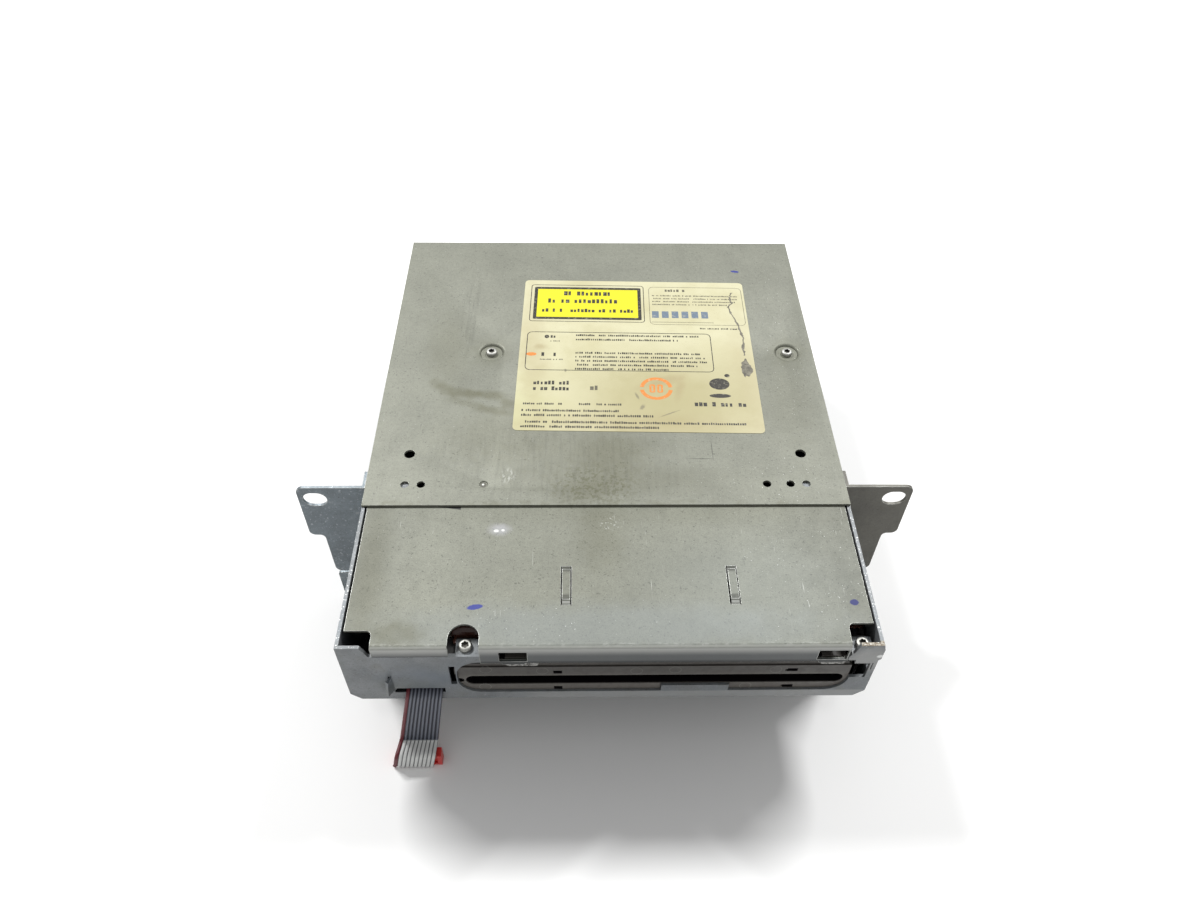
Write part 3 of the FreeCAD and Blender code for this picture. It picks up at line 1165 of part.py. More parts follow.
SPINDLE = (DRIVE_X, back(SPINDLE_BACK))
ROD_Z = SEAT_Z - 3.6
LEAD_Z = ROD_Z
LENS_Y = back(SPINDLE_BACK + PICKUP_INNER)
SLED_FRONT = LENS_Y - SLED_HALF_LENGTH
BAY_FRONT = SLED_FRONT - 1.0
BAY_REAR = LENS_Y + PICKUP_TRAVEL + SLED_HALF_LENGTH + 0.5
SLED_MOTOR_FRONT = SLED_FRONT + PICKUP_TRAVEL + 4.0
DAMPER_PLACES = tuple(
    (x, back(y)) for y in (DECK_START + DAMPER_INSET, DECK_END - DAMPER_INSET)
    for x in (DRIVE_X - DECK_LEFT_REACH + DAMPER_INSET, DRIVE_X + DECK_RIGHT_REACH - DAMPER_INSET))


def drive_deck():
    """Plate that carries the spindle motor, the pickup's rods and the lead screw."""
    low = DECK_TOP - DECK_SHEET
    plate = prism("z", low, DECK_TOP, box_outline(
        DRIVE_X - DECK_LEFT_REACH, DRIVE_X + DECK_RIGHT_REACH, back(DECK_START), back(DECK_END), 4.0))
    bay = block(
        DRIVE_X - ROD_SPREAD - 4.5, DRIVE_X + SCREW_SPREAD + SLED_MOTOR_RADIUS + 1.0, BAY_FRONT, BAY_REAR,
        low - 1, DECK_TOP + 1)
    spindle = rod("z", low - 1, DECK_TOP + 1, SPINDLE, MOTOR_RADIUS + PLAY)
    holders = []
    for side in (-1, 1):
        x = DRIVE_X + side * ROD_SPREAD
        for y0, y1 in ((BAY_FRONT - 4.0, BAY_FRONT), (BAY_REAR, BAY_REAR + 4.0)):
            holders.append(block(x - 3.0, x + 3.0, y0, y1, low, ROD_Z + ROD_RADIUS + 0.9))
    lead_x = DRIVE_X + SCREW_SPREAD
    holders.append(block(lead_x - 3.0, lead_x + 3.0, BAY_FRONT - 4.0, BAY_FRONT, low, LEAD_Z + 2.8))
    holders.append(block(lead_x - 5.0, lead_x + 5.0, BAY_REAR, BAY_REAR + 3.0, low, LEAD_Z + 2.8))
    deck = joined([plate.cut(bay).cut(spindle)] + holders)
    rods = [
        rod("y", BAY_FRONT - 3.0, BAY_REAR + 3.0, (DRIVE_X + side * ROD_SPREAD, ROD_Z),
            ROD_RADIUS + SCREW_HOLE_PLAY) for side in (-1, 1)
    ]
    lead = rod("y", BAY_FRONT - 3.0, BAY_FRONT + 1, (lead_x, LEAD_Z), ROD_RADIUS + RUNNING)
    dampers = [rod("z", low - 1, DECK_TOP + 1, place, DAMPER_RADIUS - 1.0) for place in DAMPER_PLACES]
    circle = [math.radians(90 + 120 * i) for i in range(3)]
    motor_screws = [
        rod("z", low - 1, DECK_TOP + 1, (
            SPINDLE[0] + MOTOR_SCREW_CIRCLE * math.cos(a), SPINDLE[1] + MOTOR_SCREW_CIRCLE * math.sin(a)), 0.8)
        for a in circle
    ]
    return cut(deck, lead, *rods, *dampers, *motor_screws)


def deck_dampers():
    """Rubber bushes between the cage floor and the deck, each with a neck in the deck's hole."""
    low = DECK_TOP - DECK_SHEET
    return group(
        joined([rod("z", CAGE_FLOOR, low, place, DAMPER_RADIUS),
                rod("z", low - 0.5, DECK_TOP + 0.8, place, DAMPER_RADIUS - 1.0 - PLAY)])
        for place in DAMPER_PLACES)


def spindle_motor():
    """Motor body hung under the deck by its flange."""
    low = DECK_TOP - DECK_SHEET
    body = rod("z", SHELF_TOP + 2 * PLAY, SEAT_Z - PLATTER - 2 * PLAY, SPINDLE, MOTOR_RADIUS)
    flange = rod("z", low - 1.0, low, SPINDLE, TURNTABLE_RADIUS)
    bore = rod("z", SHELF_TOP + 1.4, DISC_Z, SPINDLE, SPINDLE_SHAFT + RUNNING)
    return joined([body, flange]).cut(bore)


def turntable():
    """Disc platter with its centring hub and shaft."""
    platter = rod("z", SEAT_Z - PLATTER, SEAT_Z, SPINDLE, TURNTABLE_RADIUS)
    hub = rod("z", SEAT_Z - 1, SEAT_Z + DISC_THICKNESS - 0.2, SPINDLE, HUB_RADIUS)
    cone = Part.makeCone(
        HUB_RADIUS, HUB_RADIUS - 1.4, 0.9, Vector(*SPINDLE, SEAT_Z + DISC_THICKNESS - 0.2), AXES["z"])
    shaft = rod("z", SHELF_TOP + 1.6, SEAT_Z - 1, SPINDLE, SPINDLE_SHAFT)
    return joined([platter, hub, cone, shaft])


def guide_rods():
    return group(
        rod("y", BAY_FRONT - 2.8, BAY_REAR + 2.8, (DRIVE_X + side * ROD_SPREAD, ROD_Z), ROD_RADIUS)
        for side in (-1, 1))


def pickup_sled():
    """Sled that runs on both rods, with a finger on the lead screw and the lens actuator on top."""
    y0 = SLED_FRONT
    y1 = LENS_Y + SLED_HALF_LENGTH
    body = prism("z", SHELF_TOP + 1.2, SEAT_Z - 2.4, box_outline(
        DRIVE_X - SLED_HALF_WIDTH, DRIVE_X + SLED_HALF_WIDTH, y0, y1, 2.0))
    eyes = [
        prism("y", a, b, box_outline(x - 2.8, x + 2.8, ROD_Z - 2.4, ROD_Z + 2.4, 1.5))
        for x in (DRIVE_X - ROD_SPREAD, DRIVE_X + ROD_SPREAD) for a, b in ((y0, y0 + 4.0), (y1 - 4.0, y1))
    ]
    bridges = [
        block(x - 1.5, x + 1.5, a, b, ROD_Z - 1, ROD_Z + 1)
        for x in (DRIVE_X - SLED_HALF_WIDTH, DRIVE_X + SLED_HALF_WIDTH)
        for a, b in ((y0, y0 + 4.0), (y1 - 4.0, y1))
    ]
    finger_end = DRIVE_X + SCREW_SPREAD - ROD_RADIUS - PLAY
    finger = block(DRIVE_X + ROD_SPREAD + 2.0, finger_end, y0, y0 + 3.0, LEAD_Z - 1.2, LEAD_Z + 1.8)
    actuator = prism("z", SEAT_Z - 3.0, SEAT_Z - 1.6, box_outline(
        DRIVE_X - 6.5, DRIVE_X + 6.5, LENS_Y - 5.0, LENS_Y + 5.0, 1.0))
    rods = [
        rod("y", y0 - 1, y1 + 1, (DRIVE_X + side * ROD_SPREAD, ROD_Z), ROD_RADIUS + RUNNING)
        for side in (-1, 1)
    ]
    eyelet = rod("z", SEAT_Z - 2.2, SEAT_Z, (DRIVE_X, LENS_Y), 2.0 + SCREW_HOLE_PLAY)
    return cut(joined([body, finger, actuator] + eyes + bridges), eyelet, *rods)


def objective_lens():
    lens = rod("z", SEAT_Z - 2.2, SEAT_Z - 1.1, (DRIVE_X, LENS_Y), 2.0)
    rim = [edge for edge in lens.Edges if abs(edge.BoundBox.ZMin - (SEAT_Z - 1.1)) < 0.01]
    return lens.makeFillet(0.4, rim[:1])


def lead_screw():
    x = DRIVE_X + SCREW_SPREAD
    shaft = rod("y", BAY_FRONT - 2.6, SLED_MOTOR_FRONT - PLAY, (x, LEAD_Z), ROD_RADIUS)
    neck = rod("y", SLED_MOTOR_FRONT - 1, SLED_MOTOR_FRONT + 8.0, (x, LEAD_Z), SLED_SHAFT)
    return joined([shaft, neck])


def sled_motor():
    x = DRIVE_X + SCREW_SPREAD
    can = rod("y", SLED_MOTOR_FRONT, BAY_REAR, (x, LEAD_Z), SLED_MOTOR_RADIUS)
    flats = block(
        x - SLED_MOTOR_RADIUS, x + SLED_MOTOR_RADIUS, SLED_MOTOR_FRONT, BAY_REAR, LEAD_Z - SLED_MOTOR_FLAT,
        LEAD_Z + SLED_MOTOR_FLAT)
    bore = rod("y", SLED_MOTOR_FRONT - 1, SLED_MOTOR_FRONT + 8.6, (x, LEAD_Z), SLED_SHAFT + RUNNING)
    return can.common(flats).cut(bore)


# Disc clamp

PUCK_TOP = SEAT_Z + DISC_THICKNESS + 5.0


def raised(shape):
    """Clamp pieces are drawn closed on a disc and lifted to the empty drive's rest."""
    return turned(shape, CLAMP_PIVOT, "x", -CLAMP_ANGLE)


def clamp_arm():
    """Sheet lever over the disc, hinged at the rear of the cage."""
    z0 = PUCK_TOP + 0.6
    z1 = z0 + ARM_SHEET
    arm = prism("z", z0, z1, [
        (DRIVE_X - 11.0, SPINDLE[1] - 11.0, 8.0), (DRIVE_X + 11.0, SPINDLE[1] - 11.0, 8.0),
        (DRIVE_X + 16.0, CLAMP_PIVOT.y - 22.0), (DRIVE_X + 16.0, CLAMP_PIVOT.y + 3.0),
        (DRIVE_X - 16.0, CLAMP_PIVOT.y + 3.0), (DRIVE_X - 16.0, CLAMP_PIVOT.y - 22.0)])
    left = CAGE_INNER_LEFT + 1.4
    right = CAM_X - 2 * PLAY
    bar = block(left, right, CLAMP_PIVOT.y - 4.0, CLAMP_PIVOT.y + 3.0, z0, z1)
    ears = [
        block(x, x + ARM_SHEET, CLAMP_PIVOT.y - 12.0, CLAMP_PIVOT.y + 3.0, z0 - 3.0, CLAMP_PIVOT.z + 2.6)
        for x in (left, right - ARM_SHEET)
    ]
    pins = [
        rod("x", x0, x1, (CLAMP_PIVOT.y, CLAMP_PIVOT.z), STUD_RADIUS)
        for x0, x1 in ((CAGE_LEFT, left + 0.5), (right - 0.5, CAGE_RIGHT))
    ]
    cam_pin = rod(
        "x", right - 0.5, CAM_X + CAM_SHEET - SLIP_GAP, (CLAMP_PIN.y, CLAMP_PIN.z), CAM_PIN_RADIUS)
    hole = rod("z", z0 - 1, z1 + 1, SPINDLE, 4.0)
    return raised(cut(joined([arm, bar, cam_pin] + ears + pins), hole))


def clamp_puck():
    """Free-turning disc clamp that hangs in the arm's hole by its cap."""
    low = SEAT_Z + DISC_THICKNESS + PLAY
    body = rod("z", low, PUCK_TOP, SPINDLE, PUCK_RADIUS)
    hollow = rod("z", low - 1, low + 1.6, SPINDLE, HUB_RADIUS + 0.6)
    stem = rod("z", PUCK_TOP - 1, PUCK_TOP + ARM_SHEET + 2.0, SPINDLE, 3.4)
    cap = rod("z", PUCK_TOP + ARM_SHEET + 0.9, PUCK_TOP + ARM_SHEET + 2.1, SPINDLE, 5.5)
    return raised(joined([body, stem, cap]).cut(hollow))


def clamp_spring():
    """Torsion spring round the left hinge pin, with one leg on the cage wall."""
    left = CAGE_INNER_LEFT + PLAY
    right = CAGE_INNER_LEFT + 1.1
    place = (CLAMP_PIVOT.y, CLAMP_PIVOT.z)
    coil = rod("x", left, right, place, STUD_RADIUS + 1.3).cut(
        rod("x", left - 1, right + 1, place, STUD_RADIUS + PLAY))
    leg = block(
        CAGE_INNER_LEFT, right, CLAMP_PIVOT.y - 0.4, CLAMP_PIVOT.y + 0.4, CLAMP_PIVOT.z - 8.0,
        CLAMP_PIVOT.z - STUD_RADIUS - 0.7)
    return joined([coil, leg])


# Ribbon cable and its connectors

RIBBON_WIDTH = WIRE_COUNT * WIRE_PITCH
RIBBON_EXIT_Z = drop((CABLE_SLOT_TOP + CABLE_SLOT_BOTTOM) / 2) - 0.15
RIBBON_FALL_TOP = RIBBON_EXIT_Z - 5.8
CONNECTOR_TOP_Z = CONNECTOR_HEIGHT + RIBBON_THICKNESS / 2
RIBBON_FALL_END = CONNECTOR_TOP_Z + 5.65
RIBBON_ROUTE = (
    (back(HEADER_BACK), RIBBON_EXIT_Z + 0.6),
    (back(18.0), RIBBON_EXIT_Z + 0.6),
    (back(3.5), RIBBON_EXIT_Z),
    (back(-1.9), RIBBON_EXIT_Z - 0.1),
    (back(-2.1), RIBBON_FALL_TOP),
    (back(-2.7), (RIBBON_FALL_TOP + RIBBON_FALL_END) / 2),
    (back(-2.3), RIBBON_FALL_END),
    (back(-1.6), CONNECTOR_TOP_Z + 0.4),
    (back(-4.9), CONNECTOR_TOP_Z + 0.1),
    (back(CONNECTOR_FRONT - 0.5), CONNECTOR_TOP_Z + 0.1),
    (back(CONNECTOR_FRONT - 0.6), CONNECTOR_TOP_Z - 3.4),
    (back(CONNECTOR_FRONT - 0.6), RIBBON_END_LIFT),
)


def ribbon_path():
    """Straight runs joined by tangent arcs, in the y-z plane."""
    points = [Vector(0, y, z) for y, z in RIBBON_ROUTE]
    edges = []
    here = points[0]
    for before, corner, after in zip(points, points[1:], points[2:]):
        inward = before - corner
        outward = after - corner
        shorter = min(inward.Length, outward.Length)
        half_turn = (math.pi - inward.getAngle(outward)) / 2
        reach = 0.45 * shorter
        radius = reach / math.tan(half_turn)
        print("ribbon turn %.0f degrees, radius %.2f" % (math.degrees(2 * half_turn), radius))
        start = corner + inward.normalize() * reach
        finish = corner + outward.normalize() * reach
        towards = (inward + outward).normalize()
        middle = corner + towards * (radius / math.cos(half_turn) - radius)
        edges.append(Part.LineSegment(here, start).toShape())
        edges.append(Part.Arc(start, middle, finish).toShape())
        here = finish
    edges.append(Part.LineSegment(here, points[-1]).toShape())
    return Part.Wire(edges)


def ribbon_cable():
    """Flat cable from the header through the cable slot, down to the connector on the ground."""
    path = ribbon_path()
    start = path.Edges[0].firstVertex().Point
    half = RIBBON_WIDTH / 2
    thick = RIBBON_THICKNESS / 2
    corners = [(-half, -thick), (half, -thick), (half, thick), (-half, thick), (-half, -thick)]
    section = Part.Face(Part.makePolygon([start + Vector(u, 0, v) for u, v in corners]))
    ribbon = path.makePipe(section)
    print("ribbon length %.1f, volume over section times length %.4f" % (
        path.Length, ribbon.Volume / (RIBBON_WIDTH * RIBBON_THICKNESS * path.Length)))
    lean = FreeCAD.Matrix()
    lean.A13 = RIBBON_DRIFT
    lean.A14 = RIBBON_X - RIBBON_DRIFT * RIBBON_EXIT_Z
    return ribbon.transformGeometry(lean)


def ribbon_connector():
    """Socket strip that the cable folds over, lying on the ground in front of the body."""
    left = CONNECTOR_X - CONNECTOR_LENGTH / 2
    right = CONNECTOR_X + CONNECTOR_LENGTH / 2
    front = back(CONNECTOR_FRONT)
    rear = back(CONNECTOR_REAR)
    body = prism("x", left, right, [
        (front, 0), (rear, 0), (rear, CONNECTOR_HEIGHT, 0.6), (front, CONNECTOR_HEIGHT, CONNECTOR_ROUNDING)])
    key = CONNECTOR_KEY_WIDTH / 2
    rear_key = block(CONNECTOR_X - key, CONNECTOR_X + key, rear, rear + 0.9, 1.5, 6.0)
    return joined([body, rear_key])


DRIVE_BOARD_Z = SHELF_TOP + DRIVE_BOARD_LIFT
DRIVE_BOARD_TOP = DRIVE_BOARD_Z + BOARD_SHEET
DRIVE_BOARD_LEFT = -INNER_X + 3.0
DRIVE_BOARD_RIGHT = CAGE_LEFT - 1.2
DRIVE_BOARD_START = HEADER_BACK - 4.0
DRIVE_BOARD_END = 130.0
DRIVE_CHIP_SIDE = 14.0
DRIVE_CHIP_BACK = 77.0


def ribbon_header():
    half = RIBBON_WIDTH / 2 + HEADER_MARGIN
    right = min(RIBBON_X + half, CAGE_LEFT - PLAY)
    return block(
        RIBBON_X - half, right, back(HEADER_BACK), back(HEADER_BACK + HEADER_DEPTH), DRIVE_BOARD_TOP,
        DRIVE_BOARD_TOP + HEADER_HEIGHT)


def drive_board():
    return block(
        DRIVE_BOARD_LEFT, DRIVE_BOARD_RIGHT, back(DRIVE_BOARD_START), back(DRIVE_BOARD_END), DRIVE_BOARD_Z,
        DRIVE_BOARD_TOP)


# Electronics and rear connectors

MAIN_BOARD_Z = CHASSIS_SHEET + BOARD_LIFT
MAIN_BOARD_TOP = MAIN_BOARD_Z + BOARD_SHEET
MAIN_POSTS = tuple(
    (x, back(y)) for x in (6.0 - BOARD_HALF_WIDTH, BOARD_HALF_WIDTH - 6.0)
    for y in (BOARD_START + 6.0, (BOARD_START + BOARD_END) / 2, BOARD_END - 8.0))
DRIVE_POSTS = tuple(
    (x, back(y)) for x in (DRIVE_BOARD_LEFT + 4.0, DRIVE_BOARD_RIGHT - 4.0)
    for y in (DRIVE_BOARD_START + 20.0, DRIVE_BOARD_END - 6.0))


def main_board():
    return block(
        -BOARD_HALF_WIDTH, BOARD_HALF_WIDTH, back(BOARD_START), back(BOARD_END), MAIN_BOARD_Z, MAIN_BOARD_TOP)


def board_posts():
    main = [rod("z", CHASSIS_SHEET, MAIN_BOARD_Z, place, 3.0) for place in MAIN_POSTS]
    drive = [rod("z", SHELF_TOP, DRIVE_BOARD_Z, place, 2.5) for place in DRIVE_POSTS]
    return group(main + drive)


def board_chips():
    """Flat packages on both boards."""
    main = [
        block(x - w / 2, x + w / 2, back(y - l / 2), back(y + l / 2), MAIN_BOARD_TOP, MAIN_BOARD_TOP + h)
        for x, y, w, l, h in MAIN_CHIPS
    ]
    middle = (DRIVE_BOARD_LEFT + DRIVE_BOARD_RIGHT) / 2
    half = DRIVE_CHIP_SIDE / 2
    servo = block(
        middle - half, middle + half, back(DRIVE_CHIP_BACK - half), back(DRIVE_CHIP_BACK + half),
        DRIVE_BOARD_TOP, DRIVE_BOARD_TOP + 1.5)
    return group(main + [servo])


def capacitors():
    return group(
        rod("z", MAIN_BOARD_TOP, MAIN_BOARD_TOP + 2.2 * r, (x, back(y)), r) for x, y, r in CAPACITOR_PLACES)


def tuner_can():
    """Screening box of the tuner, beside the antenna sockets."""
    return block(
        SOCKET_XS[0] - TUNER_MARGIN, SOCKET_XS[1] + TUNER_MARGIN, back(BOARD_END - TUNER_LENGTH),
        back(SOCKET_START), MAIN_BOARD_TOP, MAIN_BOARD_TOP + TUNER_HEIGHT)


def plug_chambers():
    """Left and right inner faces of each plug chamber."""
    left = PLUG_WALL - PLUG_WIDTH / 2
    places = []
    for width in PLUG_CHAMBERS:
        places.append((left, left + width))
        left += width + PLUG_WALL
    return places


def main_plug_housing():
    """Board connector with a row of plug chambers that open through the rear panel."""
    front = PANEL_Y + PLUG_OUT - PLUG_DEPTH
    rear = PANEL_Y + PLUG_OUT
    body = block(-PLUG_WIDTH / 2, PLUG_WIDTH / 2, front, rear, PLUG_Z, PLUG_Z + PLUG_HEIGHT)
    tools = [
        block(x0, x1, front + PLUG_FLOOR, rear + 1, PLUG_Z + PLUG_WALL, PLUG_Z + PLUG_HEIGHT - PLUG_WALL)
        for x0, x1 in plug_chambers()
    ]
    return cut(body, *tools)


def main_plug_pins():
    """Blade pins in two rows, standing on the floor of the chambers."""
    front = PANEL_Y + PLUG_OUT - PLUG_DEPTH + PLUG_FLOOR
    half = PIN_SIDE / 2
    pins = []
    for x0, x1 in plug_chambers():
        count = int((x1 - x0 - PIN_SPACING / 2) // PIN_SPACING) + 1
        for side in (-1, 1):
            z = PLUG_Z + PLUG_HEIGHT / 2 + side * PIN_ROW
            for i in range(count):
                x = (x0 + x1) / 2 + PIN_SPACING * (i - (count - 1) / 2)
                pins.append(block(x - half, x + half, front, front + PIN_LENGTH, z - half, z + half))
    return group(pins)


def antenna_sockets():
    front = back(SOCKET_START) + SLIP_GAP
    sockets = []
    for x in SOCKET_XS:
        place = (x, SOCKET_Z)
        base = block(
            x - 6.5, x + 6.5, front, PANEL_Y - CHASSIS_SHEET - SLIP_GAP, MAIN_BOARD_TOP, SOCKET_Z + 6.0)
        tube = rod("y", front + 1, REAR_Y + PLUG_REACH, place, SOCKET_RADIUS)
        bore = rod("y", PANEL_Y - 2.0, REAR_Y + PLUG_REACH + 1, place, SOCKET_BORE)
        pin = rod("y", PANEL_Y - 3.0, REAR_Y + PLUG_REACH - 2.0, place, 0.7)
        sockets.append(joined([joined([base, tube]).cut(bore), pin]))
    return group(sockets)


def heat_sink():
    """Aluminium block with upright fins that stand out through the rear panel."""
    rear = REAR_Y + SINK_OUT
    base_front = PANEL_Y - 14.0
    base = block(SINK_LEFT, SINK_RIGHT, base_front, base_front + SINK_BASE, PLUG_Z, SINK_TOP)
    pitch = (SINK_RIGHT - SINK_LEFT - SINK_FIN) / (SINK_FINS - 1)
    fins = [
        block(SINK_LEFT + i * pitch, SINK_LEFT + i * pitch + SINK_FIN, base_front + SINK_BASE - 1, rear,
              SINK_BOTTOM, SINK_TOP) for i in range(SINK_FINS)
    ]
    return joined([base] + fins)


FAN_FRONT = PANEL_Y - CHASSIS_SHEET - SLIP_GAP - FAN_DEPTH
FAN_PLACE = (FAN_X, FAN_Z)


def fan_frame():
    half = FAN_SIZE / 2
    end = FAN_FRONT + FAN_DEPTH
    frame = prism("y", FAN_FRONT, end, box_outline(
        FAN_X - half, FAN_X + half, FAN_Z - half, FAN_Z + half, 3.0))
    bore = rod("y", FAN_FRONT - 1, end + 1, FAN_PLACE, half - 1.2)
    holes = [
        rod("y", FAN_FRONT - 1, end + 1, place, SCREW_RADIUS + SCREW_HOLE_PLAY) for place in FAN_SCREW_PLACES
    ]
    frame = cut(frame, bore, *holes)
    cup = rod("y", FAN_FRONT, FAN_FRONT + 3.0, FAN_PLACE, FAN_HUB - 0.5)
    pin = rod("y", FAN_FRONT + 1, FAN_FRONT + 7.0, FAN_PLACE, FAN_PIN)
    spoke = block(FAN_X + 6.0, FAN_X + half - 0.6, FAN_FRONT, FAN_FRONT + 1.6, FAN_Z - 1.0, FAN_Z + 1.0)
    spokes = [turned(spoke, Vector(FAN_X, 0, FAN_Z), "y", 30 + 120 * i) for i in range(3)]
    return joined([frame, cup, pin] + spokes)


def fan_rotor():
    """Hub with pitched blades."""
    start = FAN_FRONT + 3.3
    end = FAN_FRONT + FAN_DEPTH - 0.8
    middle = Vector(FAN_X, 0, FAN_Z)
    hub = rod("y", start, end, FAN_PLACE, FAN_HUB)
    blade = block(
        FAN_X + FAN_HUB - 0.5, FAN_X + FAN_SIZE / 2 - 2.2, -0.4, 0.4, FAN_Z - FAN_CHORD / 2,
        FAN_Z + FAN_CHORD / 2)
    blade.rotate(middle, AXES["x"], FAN_PITCH_ANGLE)
    blade.translate(Vector(0, (start + end) / 2, 0))
    blades = [turned(blade, middle, "y", 2 * HALF_TURN / FAN_BLADES * i) for i in range(FAN_BLADES)]
    bore = rod("y", start - 1, FAN_FRONT + 7.4, FAN_PLACE, FAN_PIN + RUNNING)
    return joined([hub] + blades).cut(bore)


def fan_screws():
    return group(screw(x, PANEL_Y, z, (0, 1, 0), length=FAN_SCREW_LENGTH) for x, z in FAN_SCREW_PLACES)


BUILDERS = (
    chassis_shell, base_tray, drive_shelf, front_top_cover, rear_top_cover, rear_panel, right_bracket,
    rating_label, cover_screws, front_screws, side_screws, bracket_screws, panel_screws, slot_bezel, slot_felts,
    drive_cage, disc_guide, roller_arm, roller_arm_rod, roller_shaft, feed_rubbers, roller_gear, idler_gear,
    reduction_gear, loading_worm, loading_motor, cam_slider, drive_deck, deck_dampers, spindle_motor, turntable,
    guide_rods, pickup_sled, objective_lens, lead_screw, sled_motor, clamp_arm, clamp_puck, clamp_spring,
    ribbon_cable, ribbon_connector, ribbon_header, drive_board, main_board, board_posts, board_chips, capacitors,
    tuner_can, main_plug_housing, main_plug_pins, antenna_sockets, heat_sink, fan_frame, fan_rotor, fan_screws)

os.makedirs("parts", exist_ok=True)
parts = {builder.__name__: builder() for builder in BUILDERS}
parts["left_bracket"] = mirrored(parts["right_bracket"])
for name, shape in parts.items():
    if not shape.isValid():
        print("not valid:", name)
    shape.exportStep("parts/" + name + ".step")
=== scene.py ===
import json
import math

import bmesh
import bpy
import numpy as np
from mathutils import Matrix, Vector


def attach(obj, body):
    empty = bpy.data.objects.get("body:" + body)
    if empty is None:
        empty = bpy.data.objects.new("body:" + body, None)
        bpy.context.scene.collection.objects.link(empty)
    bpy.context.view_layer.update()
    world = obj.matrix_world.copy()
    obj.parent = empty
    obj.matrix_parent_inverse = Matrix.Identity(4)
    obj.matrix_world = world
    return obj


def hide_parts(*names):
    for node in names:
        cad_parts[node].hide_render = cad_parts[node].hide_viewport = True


# Row frame: x to the right seen from the slot side, y to the back, z up, in metres.
# Sizes are given in millimetres and turned into metres by MM where they are used.

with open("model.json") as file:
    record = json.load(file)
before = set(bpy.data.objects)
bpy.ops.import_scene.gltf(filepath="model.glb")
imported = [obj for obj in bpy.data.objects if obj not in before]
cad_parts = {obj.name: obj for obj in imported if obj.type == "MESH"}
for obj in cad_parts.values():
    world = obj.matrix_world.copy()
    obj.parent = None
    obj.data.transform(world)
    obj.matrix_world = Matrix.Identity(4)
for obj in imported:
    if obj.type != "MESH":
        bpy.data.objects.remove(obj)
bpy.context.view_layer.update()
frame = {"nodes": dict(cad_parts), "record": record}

MM = 0.001
FRONT_Y = -112.95
TOP_Z = 72.0


def spot(x, back, drop):
    """A place given in millimetres right of the middle, behind the front plate and below the top."""
    return Vector((x * MM, (FRONT_Y + back) * MM, (TOP_Z - drop) * MM))


class Graph:
    """Short ways to add and join the nodes of one tree."""

    def make(self, kind, settings=(), sockets=(), **inputs):
        node = self.tree.nodes.new(kind)
        for key, value in dict(settings).items():
            setattr(node, key, value)
        for key, value in dict(sockets).items():
            self.feed(node.inputs[key], value)
        for key, value in inputs.items():
            self.feed(node.inputs[key.replace("_", " ")], value)
        return node

    def feed(self, socket, value):
        if isinstance(value, bpy.types.NodeSocket):
            self.tree.links.new(value, socket)
        elif value is not None:
            socket.default_value = value

    def math(self, operation, a, b=0.0, clamp=False):
        node = self.tree.nodes.new("ShaderNodeMath")
        node.operation = operation
        node.use_clamp = clamp
        self.feed(node.inputs[0], a)
        self.feed(node.inputs[1], b)
        return node.outputs[0]


# Finishes


